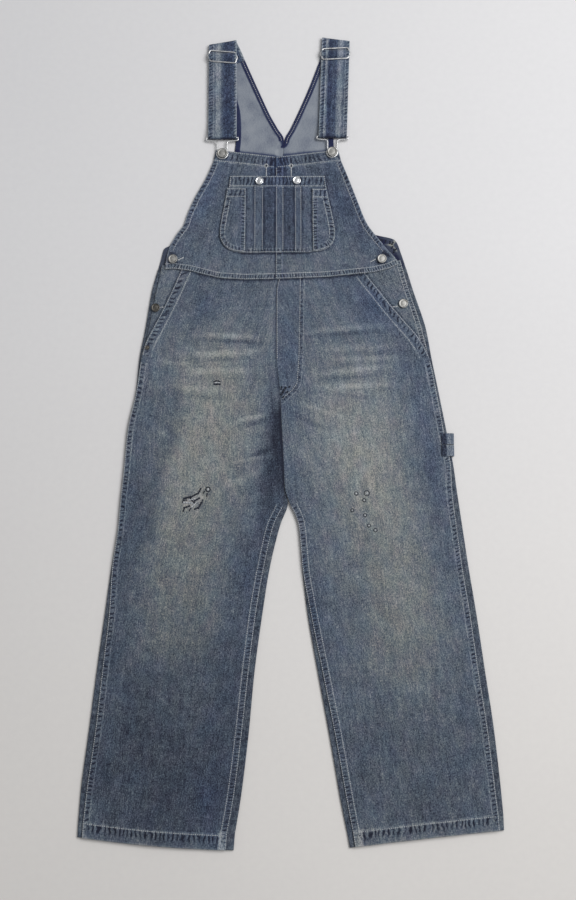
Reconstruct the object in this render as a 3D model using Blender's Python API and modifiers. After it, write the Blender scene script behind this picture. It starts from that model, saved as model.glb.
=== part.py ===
"""Denim suspender trousers (bib overalls) laid flat, front side up.

The tables are in millimetres and the model is in metres. X runs to the right as
the garment is seen, Y towards the straps and Z up from the surface it lies on.
Left and right are as seen. The tables start from the waist seam at the centre
front. The empty named layout moves them so that the model's origin is under the
middle of the whole garment.
"""
import math
from collections import namedtuple

import bmesh
import bpy

MM = 0.001

# Cloth and the layers it lies in
CLOTH = 1.2            # one thickness of washed denim
HEM = 0.8              # what a turned hem or a pocket band adds
STRAP = 2.0            # a strap is two thicknesses pressed together
GAP = 0.3              # between pieces that meet
LAP = 8.0              # how far a seam's lower piece runs under its upper one
FOLD = 4.4             # height of a leg's folded edge: two walls and a 2 mm hollow
FOLD_RADIUS = FOLD / 2
PANEL = FOLD + GAP     # underside of what lies on the folded edges
RAISED = PANEL + CLOTH + GAP   # underside of what lies on a leg or a pocket facing
WAIST_LAP = RAISED + CLOTH + GAP
BIB = STRAP + GAP      # underside of the bib, over the back's hems
POCKET = BIB + CLOTH + GAP
PENCIL = POCKET + CLOTH + GAP

# Edges
BAND_ROWS = 3          # rows of points that lie in a hem or a pocket's top band
BAND_STEP = 1.0        # distance in which a turned hem thins out to the panel
EDGE_HEM = 9.0         # turned hems at the armholes and the neck
SLASH_END = -172.0     # the pocket facing reaches down to here
SLASH_RISE = 26.0      # the leg front rises onto the facing over this length

# Straps and metal
STRAP_WIDTH = 51.0
STRAP_EASE = 0.35      # between a strap and the buckle's bar that it turns round
WIRE = 3.2             # diameter of the buckle wire
SLIDER_WIDTH = 59.0
SLIDER_HEIGHT = 25.0
SLIDER_BAR = 3.0
SLIDER_PLATE = 2.0
SLIDER_FROM_TOP = 30.0     # from the strap's fold to the slider's middle
BAR_ABOVE_LOOP = 30.0      # from the middle of the buckle's ring to its bar
LOOP_RADIUS = 10.0
NECK = 12.0                # half widths of the buckle at its neck and its shoulders
SHOULDER = 28.6

# Leg sections from the waist to the hem: where the folded edge lies on the outer
# and the inner side, and how far in from it the front panel's seam runs
Leg = namedtuple("Leg", "outer_x outer_y outer_inset inner_x inner_y inner_inset")
LEG_L = (
    Leg(-212.0, 10.0, 7.0, 3.0, 10.0, 0.0),
    Leg(-222.0, -28.0, 8.0, -1.9, -28.0, 0.0),
    Leg(-233.0, -100.0, 6.0, -1.8, -100.0, 0.0),
    Leg(-242.0, -151.0, 4.0, -1.7, -151.0, 0.0),
    Leg(-247.5, -213.0, 1.0, 4.3, -213.0, 0.0),
    Leg(-260.0, -280.0, 0.0, 8.0, -280.0, 0.0),
    Leg(-265.0, -345.0, 0.0, 11.2, -345.0, 0.0),
    Leg(-268.0, -380.0, 0.0, 12.8, -380.0, 1.0),
    Leg(-270.5, -408.0, 0.0, 18.5, -408.0, 8.0),
    Leg(-273.0, -448.0, 0.0, 5.0, -447.0, 11.0),
    Leg(-284.0, -522.0, 2.0, -13.0, -522.0, 10.0),
    Leg(-292.0, -590.0, 7.0, -24.5, -595.0, 11.0),
    Leg(-304.0, -690.0, 9.5, -38.0, -697.0, 10.0),
    Leg(-315.0, -790.0, 11.0, -47.5, -800.0, 11.5),
    Leg(-326.0, -887.0, 10.0, -60.0, -903.0, 12.0),
    Leg(-329.1, -937.5, 8.5, -69.1, -958.5, 13.0),
    Leg(-329.2, -939.0, 8.5, -69.2, -960.0, 13.0),
    Leg(-330.0, -963.0, 8.0, -71.0, -984.0, 13.0),
)
LEG_R = (
    Leg(229.0, 10.0, 11.0, 3.0, 10.0, 0.0),
    Leg(240.0, -28.0, 9.0, -1.9, -28.0, 0.0),
    Leg(262.0, -100.0, 8.0, -1.8, -100.0, 0.0),
    Leg(270.5, -151.0, 5.0, -1.7, -151.0, 0.0),
    Leg(282.0, -213.0, 4.0, 4.3, -213.0, 0.0),
    Leg(294.0, -280.0, 5.0, 8.0, -280.0, 0.0),
    Leg(305.5, -345.0, 5.0, 11.2, -345.0, 0.0),
    Leg(309.5, -380.0, 8.0, 12.8, -380.0, 0.0),
    Leg(313.0, -408.0, 9.5, 21.5, -408.0, 0.0),
    Leg(318.0, -446.0, 10.0, 36.0, -444.0, 0.0),
    Leg(328.0, -522.0, 11.0, 43.0, -525.0, 1.0),
    Leg(338.0, -590.0, 11.0, 51.5, -595.0, 5.0),
    Leg(351.0, -690.0, 11.5, 69.5, -699.0, 8.0),
    Leg(364.0, -790.0, 11.0, 88.5, -803.0, 9.5),
    Leg(373.0, -887.0, 10.0, 106.0, -905.0, 10.0),
    Leg(375.8, -926.5, 8.5, 116.0, -954.5, 9.3),
    Leg(375.9, -928.0, 8.5, 116.3, -956.0, 9.3),
    Leg(376.5, -952.0, 8.0, 120.5, -980.0, 9.0),
)
STEPS = 2              # rows of points from one section to the next
CROTCH_ROW = 5         # the leg section where the legs part from each other
HEM_BOW_L = -4.0       # how far the middle of a hem lies off the line of its ends
HEM_BOW_R = 1.0

# The front edge of each slash pocket, from under the waist seam to the side seam
Slash = namedtuple("Slash", "x y")
SLASH_L = (
    Slash(-167.0, 20.0), Slash(-172.0, 7.0), Slash(-186.0, -28.0), Slash(-202.0, -64.0),
    Slash(-218.5, -98.0), Slash(-231.0, -124.0), Slash(-238.0, -151.0),
)
SLASH_R = (
    Slash(150.0, 21.0), Slash(158.0, 5.0), Slash(179.0, -26.0), Slash(200.0, -56.0),
    Slash(223.0, -85.0), Slash(246.0, -113.0), Slash(265.5, -151.0),
)

# The lower edge of the waist seam
Waist = namedtuple("Waist", "x y")
WAIST = (
    Waist(-199.0, 8.5), Waist(-184.0, 9.5), Waist(-157.0, 6.0), Waist(-126.0, -2.0),
    Waist(-104.0, -7.5), Waist(-57.0, -10.5), Waist(4.0, -9.0), Waist(90.0, -5.5),
    Waist(142.0, 0.0), Waist(170.0, 3.0), Waist(197.0, 9.5), Waist(216.0, 18.5),
)

# By height above the waist seam: how far the leg front has risen to its place under
# the bib, and the underside of the bib
WAIST_RISE = ((-40.0, 0.0), (-10.0, 1.0))
BIB_RISE = ((12.0, WAIST_LAP), (38.0, BIB))

# Sections of the flat pieces, top to bottom, from their left edge to their right
Section = namedtuple("Section", "left_x left_y right_x right_y")
CENTRE_FRONT = -3.0
BIB_L = (
    Section(-111.5, 233.0, CENTRE_FRONT, 220.0),
    Section(-115.0, 212.5, CENTRE_FRONT, 200.0),
    Section(-115.5, 211.0, CENTRE_FRONT, 198.5),
    Section(-128.5, 180.0, CENTRE_FRONT, 170.0),
    Section(-150.0, 139.0, CENTRE_FRONT, 135.0),
    Section(-162.0, 109.0, CENTRE_FRONT, 104.0),
    Section(-167.0, 93.0, CENTRE_FRONT, 82.0),
    Section(-180.0, 74.0, CENTRE_FRONT, 60.0),
    Section(-193.5, 48.0, CENTRE_FRONT, 34.0),
    Section(-197.0, 31.0, CENTRE_FRONT, 14.0),
    Section(-199.0, 8.5, CENTRE_FRONT, -9.0),
)
BIB_R = (
    Section(CENTRE_FRONT, 220.0, 109.0, 233.0),
    Section(CENTRE_FRONT, 200.0, 114.0, 212.5),
    Section(CENTRE_FRONT, 198.5, 114.6, 211.0),
    Section(CENTRE_FRONT, 170.0, 128.0, 177.0),
    Section(CENTRE_FRONT, 135.0, 142.0, 139.0),
    Section(CENTRE_FRONT, 104.0, 153.0, 109.0),
    Section(CENTRE_FRONT, 82.0, 161.5, 91.0),
    Section(CENTRE_FRONT, 60.0, 174.5, 73.0),
    Section(CENTRE_FRONT, 34.0, 195.0, 47.0),
    Section(CENTRE_FRONT, 14.0, 208.0, 31.0),
    Section(CENTRE_FRONT, -9.0, 216.0, 18.5),
)
BIB_POCKET = (
    Section(-85.5, 183.0, 85.0, 183.0),
    Section(-87.5, 164.0, 87.0, 164.0),
    Section(-87.8, 162.5, 87.3, 162.5),
    Section(-95.5, 122.0, 95.0, 122.0),
    Section(-103.0, 83.0, 102.5, 83.0),
    Section(-103.0, 72.0, 102.5, 72.0),
    Section(-98.6, 58.0, 98.2, 57.5),
    Section(-91.0, 49.0, 89.0, 49.0),
    Section(-79.0, 43.0, 74.0, 43.5),
    Section(-62.0, 40.0, 52.0, 41.0),
)
PENCIL_L = (
    Section(-91.0, 159.0, -57.0, 159.0),
    Section(-93.0, 143.0, -57.0, 143.0),
    Section(-93.3, 141.5, -57.0, 141.5),
    Section(-103.0, 83.0, -57.5, 83.0),
    Section(-103.0, 72.0, -57.6, 72.0),
    Section(-98.6, 58.5, -57.7, 58.0),
    Section(-91.0, 49.8, -57.8, 49.4),
    Section(-79.5, 44.0, -57.9, 43.6),
    Section(-66.0, 41.4, -58.0, 41.2),
)
PENCIL_R = (
    Section(62.0, 158.0, 88.0, 158.0),
    Section(62.0, 142.0, 91.0, 142.0),
    Section(62.0, 140.5, 91.3, 140.5),
    Section(62.3, 83.0, 102.5, 83.0),
    Section(62.5, 72.0, 102.5, 72.0),
    Section(62.7, 58.0, 98.2, 58.0),
    Section(62.8, 49.8, 89.0, 49.8),
    Section(62.9, 45.4, 76.5, 45.2),
    Section(63.0, 43.4, 68.0, 43.4),
)
BACK_WAIST = 10.0 + GAP
NECK_ROW = 4           # the back bib section where the neck ends in its V
BACK_BIB_L = (
    Section(-106.6, 386.5, -60.0, 405.6),
    Section(-83.5, 331.0, -37.0, 352.0),
    Section(-76.5, 300.0, -13.0, 298.0),
    Section(-75.0, 272.0, 0.0, 274.0),
    Section(-75.5, 250.0, 11.3, 251.5),
    Section(-82.0, 200.0, 8.6, 210.0),
    Section(-98.0, 150.0, 7.2, 172.0),
    Section(-125.0, 98.0, 6.0, 130.0),
    Section(-160.0, 66.0, 5.0, 92.0),
    Section(-202.0, 47.5, 4.0, 58.0),
    Section(-206.5, 30.0, 3.4, 34.0),
    Section(-211.5, BACK_WAIST, 3.0, BACK_WAIST),
)
BACK_BIB_R = (
    Section(75.6, 403.2, 122.4, 384.6),
    Section(56.8, 352.0, 102.0, 333.5),
    Section(34.0, 298.0, 100.5, 296.0),
    Section(23.0, 274.0, 100.5, 272.0),
    Section(12.1, 251.5, 100.8, 250.0),
    Section(8.8, 210.0, 104.0, 200.0),
    Section(7.4, 172.0, 113.0, 152.0),
    Section(6.2, 130.0, 132.0, 108.0),
    Section(5.2, 96.0, 166.0, 77.0),
    Section(4.4, 66.0, 209.0, 64.0),
    Section(3.8, 38.0, 220.0, 38.0),
    Section(3.3, BACK_WAIST, 228.5, BACK_WAIST),
)

# Each strap's way: from the back bib over its fold at the top and down to the buckle
StrapWay = namedtuple("StrapWay", "start_x start_y start_turn top_x top_y top_turn ring_x ring_y")
STRAP_L = StrapWay(-83.3, 395.9, 22.4, -100.5, 439.8, 10.0, -99.7, 225.5)
STRAP_R = StrapWay(99.0, 393.9, -21.7, 106.0, 446.0, -7.5, 98.1, 228.2)
STRAP_START_GAP = 0.6

# Heights of a strap's middle: its back run, the tail on it and the upper run on the tail
BACK_RUN = STRAP / 2
TAIL = BACK_RUN + STRAP + GAP
TOP_RUN = TAIL + STRAP + GAP
OVER_BAR = TOP_RUN + 5.2       # where it passes over the slider's middle bar
WIRE_TURN = (WIRE + STRAP) / 2 + STRAP_EASE    # radius of its middle round the buckle's bar
BAR_HEIGHT = TAIL + WIRE_TURN

# The strap's way in stations: distance above the slider's middle or the buckle's bar,
# height of its middle, and share of the fold's turn that is left in it
Station = namedtuple("Station", "along z turned")
OVER_SLIDER = (
    Station(11.5, TOP_RUN, 0.4), Station(8.5, TOP_RUN, 0.1),
    Station(3.2, OVER_BAR - 0.4, 0.1), Station(0.0, OVER_BAR, 0.0),
    Station(-3.2, OVER_BAR - 0.4, 0.0), Station(-9.0, TOP_RUN, 0.0),
    Station(-15.0, TOP_RUN, 0.0), Station(-45.0, TOP_RUN, 0.0), Station(-80.0, TOP_RUN, 0.0),
)
TO_BAR = (Station(36.0, TOP_RUN, 0.0), Station(20.0, TOP_RUN + 0.8, 0.0), Station(8.0, TOP_RUN + 3.0, 0.0))
TAIL_FROM_BAR = (Station(20.0, TAIL, 0.0), Station(60.0, TAIL, 0.0))
TAIL_END = (
    Station(-45.0, TAIL, 0.0), Station(-15.0, TAIL, 0.0), Station(-9.0, TAIL + 0.1, 0.0),
    Station(-3.5, TAIL + 2.2, 0.0), Station(1.5, TAIL + 2.5, 0.0),
)

# Half of a buckle's wire, from its bar down to the ring
Bend = namedtuple("Bend", "aside above")
BUCKLE = (
    Bend(24.0, BAR_ABOVE_LOOP), Bend(SHOULDER - 1.2, BAR_ABOVE_LOOP - 0.8),
    Bend(SHOULDER, BAR_ABOVE_LOOP - 3.0), Bend(SHOULDER - 1.4, BAR_ABOVE_LOOP - 5.4),
    Bend(24.0, 23.6), Bend(16.0, 22.8), Bend(NECK + 1.0, 21.0), Bend(NECK, 18.0),
    Bend(NECK, 9.0), Bend(LOOP_RADIUS + 1.0, 4.5),
)

# The largest folds of the leg fronts: middle, direction from +X, length, width, height
Crease = namedtuple("Crease", "x y turn length width height")
CREASES_L = (
    Crease(-60.0, -222.0, 14.0, 190.0, 46.0, 1.8),
    Crease(-70.0, -285.0, 20.0, 170.0, 44.0, 2.2),
    Crease(-110.0, -170.0, -8.0, 150.0, 40.0, 1.2),
    Crease(-150.0, -520.0, 78.0, 260.0, 70.0, 2.0),
    Crease(-215.0, -640.0, 84.0, 300.0, 70.0, 1.4),
    Crease(-140.0, -800.0, 82.0, 240.0, 80.0, 1.6),
)
CREASES_R = (
    Crease(90.0, -230.0, -16.0, 180.0, 46.0, 1.8),
    Crease(110.0, -300.0, -24.0, 190.0, 48.0, 2.0),
    Crease(150.0, -160.0, 6.0, 150.0, 40.0, 1.2),
    Crease(190.0, -540.0, -80.0, 280.0, 76.0, 2.2),
    Crease(270.0, -700.0, -82.0, 260.0, 70.0, 1.4),
    Crease(220.0, -840.0, -80.0, 220.0, 80.0, 1.6),
)

# Turned metal buttons: place, height of the cloth under them, radius
Button = namedtuple("Button", "name x y z radius")
BIB_TOP = BIB + CLOTH
BUTTONS = (
    Button("strap_button_l", -99.7, 225.0, BIB_TOP + HEM, 7.5),
    Button("strap_button_r", 98.1, 227.7, BIB_TOP + HEM, 7.5),
    Button("pocket_button_l", -32.6, 172.5, POCKET + CLOTH + HEM, 7.2),
    Button("pocket_button_r", 34.4, 173.5, POCKET + CLOTH + HEM, 7.2),
    Button("waist_button_l", -185.3, 26.5, WAIST_LAP + CLOTH - 0.3, 8.2),
    Button("waist_button_r", 185.0, 27.4, WAIST_LAP + CLOTH - 1.1, 8.2),
    Button("side_button_l", -214.8, -61.8, PANEL + CLOTH, 7.6),
    Button("side_button_r", 222.0, -54.0, PANEL + CLOTH, 8.2),
    Button("rivet_l", -228.0, -134.0, RAISED + CLOTH, 4.0),
)

# The hammer loop's two ends, side by side at the right side seam
LOOP_LEFT = 284.5
LOOP_RIGHT = 306.8
LOOP_TOPS = (-286.0, -306.6)
LOOP_WIDTH = 19.6

DENIM = ("denim", (0.13, 0.17, 0.23), 0.9, 0.0)
DENIM_INSIDE = ("denim_inside", (0.38, 0.41, 0.44), 0.92, 0.0)
METAL = ("buckle_metal", (0.72, 0.72, 0.70), 0.32, 1.0)


def clear_scene():
    for thing in list(bpy.data.objects):
        bpy.data.objects.remove(thing, do_unlink=True)


def material(description):
    """A Principled material: its colour, roughness and metallic value."""
    name, colour, roughness, metallic = description
    made = bpy.data.materials.get(name)
    if made is None:
        made = bpy.data.materials.new(name)
        made.use_nodes = True
        shader = made.node_tree.nodes["Principled BSDF"]
        shader.inputs["Base Color"].default_value = (*colour, 1.0)
        shader.inputs["Roughness"].default_value = roughness
        shader.inputs["Metallic"].default_value = metallic
    return made


def tangent(before, after):
    """Slope at a point of a table, kept from overshooting its neighbours."""
    if before * after <= 0.0:
        return 0.0
    return 2.0 * before * after / (before + after)


def smooth(rows, place):
    """Read a table between its rows; place counts rows from the first."""
    index = min(int(place), len(rows) - 2)
    part = place - index
    first, last = rows[max(index - 1, 0)], rows[min(index + 2, len(rows) - 1)]
    values = []
    for a, b, c, d in zip(first, rows[index], rows[index + 1], last):
        leave = tangent(b - a, c - b) if index > 0 else c - b
        arrive = tangent(c - b, d - c) if index < len(rows) - 2 else c - b
        curve = (2 * part**3 - 3 * part**2 + 1) * b + (3 * part**2 - 2 * part**3) * c
        slopes = (part**3 - 2 * part**2 + part) * leave + (part**3 - part**2) * arrive
        values.append(curve + slopes)
    return values


def along(rows, value, key=0, read=1):
    """Read column `read` of a table, in straight lines, where column `key` is value."""
    rows = sorted(rows, key=lambda row: row[key])
    if value <= rows[0][key]:
        return rows[0][read]
    for low, high in zip(rows, rows[1:]):
        if value <= high[key]:
            part = (value - low[key]) / (high[key] - low[key])
            return low[read] + part * (high[read] - low[read])
    return rows[-1][read]


def waist_y(x):
    return along(WAIST, x)


def bend_to(rows, order, edge):
    """Bend the rows next to the first (order 1) or last (order -1) one to a function of x."""
    end = 0 if order > 0 else len(rows) - 1
    reach = 4 * STEPS
    shifts = [edge(x) - y for x, y, *_ in rows[end]]
    for near in range(reach):
        fade = (1.0 - near / reach) ** 2
        for point, shift in zip(rows[end + order * near], shifts):
            point[1] += shift * fade


def flat_grid(sections, stops, top_edge=None, bottom_edge=None):
    """Points [x, y] of a flat piece between its two side edges.

    A stop is a share of the width and a distance, so that a column can keep its
    distance from an edge. A top or bottom edge that isn't straight is a function
    of x.
    """
    count = (len(sections) - 1) * STEPS
    rows = []
    for row in range(count + 1):
        left_x, left_y, right_x, right_y = smooth(sections, row / STEPS)
        width = math.hypot(right_x - left_x, right_y - left_y)
        points = []
        for share, distance in stops:
            u = share + distance / width
            points.append([left_x + u * (right_x - left_x), left_y + u * (right_y - left_y)])
        rows.append(points)
    if top_edge:
        bend_to(rows, 1, top_edge)
    if bottom_edge:
        bend_to(rows, -1, bottom_edge)
    return rows


def wall(name, rows, look, thickness=CLOTH, extra=None, keep=None, offset=1.0):
    """A cloth piece: the open grid of one face, made solid towards its normal.

    `extra` gives the thickness that a hem or a band adds at a row and a column of
    the grid, and `keep` says which faces of the grid the piece has.
    """
    mesh = bpy.data.meshes.new(name)
    shape = bmesh.new()
    share = shape.verts.layers.deform.verify()
    points = [[shape.verts.new([value * MM for value in point]) for point in row] for row in rows]
    most = thickness + (HEM if extra else 0.0)
    if extra:
        for row, line in enumerate(points):
            for column, vert in enumerate(line):
                vert[share][0] = (thickness + extra(row, column)) / most
    for row in range(len(rows) - 1):
        for column in range(len(rows[0]) - 1):
            if keep is None or keep(row, column):
                shape.faces.new((
                    points[row][column], points[row + 1][column],
                    points[row + 1][column + 1], points[row][column + 1],
                ))
    loose = [vert for vert in shape.verts if not vert.link_faces]
    bmesh.ops.delete(shape, geom=loose, context="VERTS")
    shape.to_mesh(mesh)
    shape.free()
    mesh.materials.append(material(look))
    piece = bpy.data.objects.new(name, mesh)
    solid = piece.modifiers.new("thickness", "SOLIDIFY")
    solid.thickness = most * MM
    solid.offset = offset
    solid.use_even_offset = True
    if extra:
        solid.vertex_group = piece.vertex_groups.new(name="thickness").name
        solid.thickness_vertex_group = 0.0
    mesh.shade_smooth()
    return piece


def lay(points, height):
    """Put a flat grid at the height that a function of x and y gives."""
    return [[(x, y, height(x, y)) for x, y in row] for row in points]


def spread(count):
    """Stops spread evenly over a width."""
    return [(column / count, 0.0) for column in range(count + 1)]


def edge_fold(x, y, inward, inset):
    """One folded edge of a leg: from the strip's end under the front to the floor."""
    points = [(x + inward * (inset + LAP), y, FOLD), (x + inward * FOLD_RADIUS, y, FOLD)]
    for step in range(1, 4):
        angle = math.radians(45.0 * step)
        aside = FOLD_RADIUS * (1.0 - math.sin(angle))
        points.append((x + inward * aside, y, FOLD_RADIUS * (1.0 + math.cos(angle))))
    points.append((x + inward * FOLD_RADIUS, y, 0.0))
    return points


def leg_sections(legs, side):
    """Leg sections from left to right: x, y and inset on both sides."""
    rows = []
    for row in legs:
        inner_x = row.inner_x + side * GAP / 2
        outer = (row.outer_x, row.outer_y, row.outer_inset)
        inner = (inner_x, row.inner_y, row.inner_inset)
        rows.append(outer + inner if side < 0 else inner + outer)
    return rows


def hem_edge(legs, bow):
    """The hem's line as a function of x, hanging a little in its middle."""
    last = legs[-1]

    def edge(x):
        u = (x - last.outer_x) / (last.inner_x - last.outer_x)
        return last.outer_y + u * (last.inner_y - last.outer_y) + bow * 4 * u * (1 - u)
    return edge


def leg_back(name, legs, side, bow):
    """A back leg panel: flat on the floor and folded up and over at its edges."""
    sections = leg_sections(legs, side)
    crotch = CROTCH_ROW * STEPS
    rows = []
    for row in range((len(sections) - 1) * STEPS + 1):
        left_x, left_y, left_inset, right_x, right_y, right_inset = smooth(sections, row / STEPS)
        left = edge_fold(left_x, left_y, 1.0, left_inset)
        right = edge_fold(right_x, right_y, -1.0, right_inset)[::-1]
        if row < crotch:
            if side < 0:
                right[0] = (right_x, right_y, 0.0)
            else:
                left[-1] = (left_x, left_y, 0.0)
        start, end = left[-1], right[0]
        floor = []
        for share in (1 / 3, 2 / 3):
            floor.append([start[axis] + share * (end[axis] - start[axis]) for axis in range(3)])
        rows.append([list(point) for point in left + floor + right])
    bend_to(rows, -1, hem_edge(legs, bow))
    fold = len(left) - 1

    def keep(row, column):
        if row >= crotch:
            return True
        if side < 0:
            return column < len(rows[0]) - 1 - fold
        return column >= fold
    return wall(name, rows, DENIM, keep=keep)


def crease_height(creases, x, y):
    """Height that the leg front's soft folds add at a point."""
    total = 0.0
    for crease in creases:
        turn = math.radians(crease.turn)
        dx, dy = x - crease.x, y - crease.y
        run = (dx * math.cos(turn) + dy * math.sin(turn)) / (crease.length / 2)
        aside = (dy * math.cos(turn) - dx * math.sin(turn)) / (crease.width / 2)
        if abs(run) < 1.0 and abs(aside) < 1.0:
            total += crease.height * (1 - run * run) ** 2 * (1 - aside * aside) ** 2
    return total


def seam_x(legs, side, y):
    """Where the side seam runs at y: the folded edge less its inset."""
    x = along(legs, y, key=1, read=0)
    inset = along(legs, y, key=1, read=2)
    return x - side * inset


def front_sections(legs, slash, side):
    """Sections of a leg front, cut away along the slash pocket above the side seam."""
    lower = leg_sections(legs, side)
    rows = []
    for point in slash[:-1]:
        inner_x = along(legs, point.y, key=4, read=3) + side * GAP / 2
        rows.append((point.x, point.y, inner_x, point.y))
    for row in lower[3:]:
        left_x, left_y, left_inset, right_x, right_y, right_inset = row
        section = (left_x + left_inset, left_y, right_x - right_inset, right_y)
        rows.append(section if side < 0 else section[2:] + section[:2])
    if side > 0:
        rows = [row[2:] + row[:2] for row in rows]
    return [Section(*row) for row in rows]


def leg_front(name, legs, slash, creases, side, bow):
    """A leg front: on the folded edges, over the pocket facing and under the bib."""
    flat = LAP + 4.0
    slope = 28.0
    stops = [(0.0, 0.0), (0.0, flat), (0.0, flat + slope)]
    stops += [(share, 0.0) for share in (0.31, 0.44, 0.56, 0.69)]
    stops += [(1.0, -flat - slope), (1.0, -flat), (1.0, 0.0)]
    sections = front_sections(legs, slash, side)
    points = flat_grid(sections, stops, lambda x: waist_y(x) + LAP, hem_edge(legs, bow))
    last = len(stops) - 1

    def height(x, y, column):
        near_waist = along(WAIST_RISE, y - waist_y(x))
        near_slash = along(((SLASH_END - SLASH_RISE, 0.0), (SLASH_END, 1.0)), y)
        beside = column if side < 0 else last - column
        if beside > 1:
            near_slash = 0.0
        from_edge = min(column, last - column)
        fold = crease_height(creases, x, y) if from_edge > 1 else 0.0
        return PANEL + (RAISED - PANEL) * max(near_waist, near_slash) + fold * (1.0 - near_waist)

    rows = [[(x, y, height(x, y, column)) for column, (x, y) in enumerate(row)] for row in points]

    def extra(row, column):
        return HEM if row >= len(rows) - BAND_ROWS else 0.0
    return wall(name, rows, DENIM, extra=extra)


def pocket_facing(name, legs, slash, side):
    """The piece seen between a slash pocket's edge and the side seam."""
    sections = []
    for y in (18.0, -28.0, -98.0, -151.0, SLASH_END + 4.0):
        seam = (seam_x(legs, side, y), y)
        inner = (along(slash, y, key=1, read=0) - side * LAP, y)
        sections.append(Section(*(seam + inner if side < 0 else inner + seam)))
    points = flat_grid(sections, spread(3), lambda x: waist_y(x) + LAP)
    return wall(name, lay(points, lambda x, y: PANEL), DENIM)


def bib_height(x, y):
    """Underside of the bib: on the back, and up over the legs at the waist."""
    return along(BIB_RISE, y - waist_y(x))


def bib_half(name, sections, side):
    """Half of the bib, from the centre seam to the armhole's turned hem."""
    stops = [(0.0, 0.0), (0.0, EDGE_HEM), (0.0, EDGE_HEM + BAND_STEP)]
    stops += [(0.4, 0.0), (0.7, 0.0), (1.0, -GAP)]
    if side > 0:
        stops = [(1.0 - share, -distance) for share, distance in stops[::-1]]
    points = flat_grid(sections, stops, None, waist_y)
    waist_rows = 4

    def extra(row, column):
        from_armhole = column if side < 0 else len(stops) - 1 - column
        at_armhole = from_armhole <= 1 and row < len(points) - waist_rows
        return HEM if row < BAND_ROWS or at_armhole else 0.0
    return wall(name, lay(points, bib_height), DENIM, extra=extra)


def laid_pocket(name, sections, height):
    """A pocket laid on the bib, with a thicker band along its top."""
    points = flat_grid(sections, spread(4))

    def extra(row, column):
        return HEM if row < BAND_ROWS else 0.0
    return wall(name, lay(points, lambda x, y: height), DENIM, extra=extra)


def back_bib(name, sections, side):
    """Half of the back bib, inside up, with the neck and armhole hems turned in."""
    stops = [(0.0, 0.0), (0.0, EDGE_HEM), (0.0, EDGE_HEM + BAND_STEP), (0.4, 0.0), (0.6, 0.0)]
    stops += [(1.0, -EDGE_HEM - BAND_STEP), (1.0, -EDGE_HEM), (1.0, 0.0)]
    points = flat_grid(sections, stops)
    for row in points:
        for point in row:
            point[0] += side * GAP / 2

    def extra(row, column):
        from_left, from_right = column, len(stops) - 1 - column
        from_armhole, from_neck = (from_left, from_right) if side < 0 else (from_right, from_left)
        on_neck = from_neck <= 1 and row <= NECK_ROW * STEPS
        return HEM if on_neck or from_armhole <= 1 else 0.0
    return wall(name, lay(points, lambda x, y: 0.0), DENIM_INSIDE, extra=extra)


def front_x(way, y):
    """The middle of a strap's front run at y: from its fold straight to the buckle's ring."""
    return way.ring_x + (way.top_x - way.ring_x) * (y - way.ring_y) / (way.top_y - way.ring_y)


def strap_stations(way):
    """The strap's middle line: x, y, z and the turn of its width at each station."""
    radius = (TOP_RUN - BACK_RUN) / 2
    fold_y = way.top_y - radius - STRAP / 2
    fold_x = front_x(way, fold_y)
    turn = math.radians(way.start_turn)
    start_x = way.start_x - math.sin(turn) * STRAP_START_GAP
    start_y = way.start_y + math.cos(turn) * STRAP_START_GAP
    stations = []
    for share, turned in ((0.0, 0.0), (0.3, 0.0), (0.6, 0.0), (0.85, 0.62)):
        angle = way.start_turn + turned * (way.top_turn - way.start_turn)
        x = start_x + share * (fold_x - start_x)
        stations.append((x, start_y + share * (fold_y - start_y), BACK_RUN, angle))
    for step in range(7):
        angle = math.radians(30.0 * step)
        y = fold_y + radius * math.sin(angle)
        z = BACK_RUN + radius * (1 - math.cos(angle))
        stations.append((front_x(way, y), y, z, way.top_turn))
    slider_y = way.top_y - SLIDER_FROM_TOP
    bar_y = way.ring_y + BAR_ABOVE_LOOP
    for start, row in [(slider_y, row) for row in OVER_SLIDER] + [(bar_y, row) for row in TO_BAR]:
        y = start + row.along
        stations.append((front_x(way, y), y, row.z, way.top_turn * row.turned))
    for step in range(7):
        angle = math.radians(30.0 * step)
        y = bar_y - WIRE_TURN * math.sin(angle)
        stations.append((front_x(way, y), y, BAR_HEIGHT + WIRE_TURN * math.cos(angle), 0.0))
    for start, row in [(bar_y, row) for row in TAIL_FROM_BAR] + [(slider_y, row) for row in TAIL_END]:
        y = start + row.along
        stations.append((front_x(way, y), y, row.z, 0.0))
    return stations


def strap(name, way):
    """A strap: on the floor, folded over at the top, through the slider and round the bar."""
    rows = []
    for x, y, z, turn in strap_stations(way):
        angle = math.radians(turn)
        half = STRAP_WIDTH / 2
        row = []
        for share in (-1.0, -0.33, 0.33, 1.0):
            row.append((x + share * half * math.cos(angle), y + share * half * math.sin(angle), z))
        rows.append(row)
    return wall(name, rows, DENIM, thickness=STRAP, offset=0.0)


def closed_wire(name, outline, height, look):
    """A closed wire along an outline at one height."""
    curve = bpy.data.curves.new(name, "CURVE")
    curve.dimensions = "3D"
    spline = curve.splines.new("POLY")
    spline.points.add(len(outline) - 1)
    for point, (x, y) in zip(spline.points, outline):
        point.co = (x * MM, y * MM, height * MM, 1.0)
    spline.use_cyclic_u = True
    curve.bevel_depth = WIRE / 2 * MM
    curve.bevel_resolution = 1
    curve.materials.append(material(look))
    return bpy.data.objects.new(name, curve)


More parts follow.
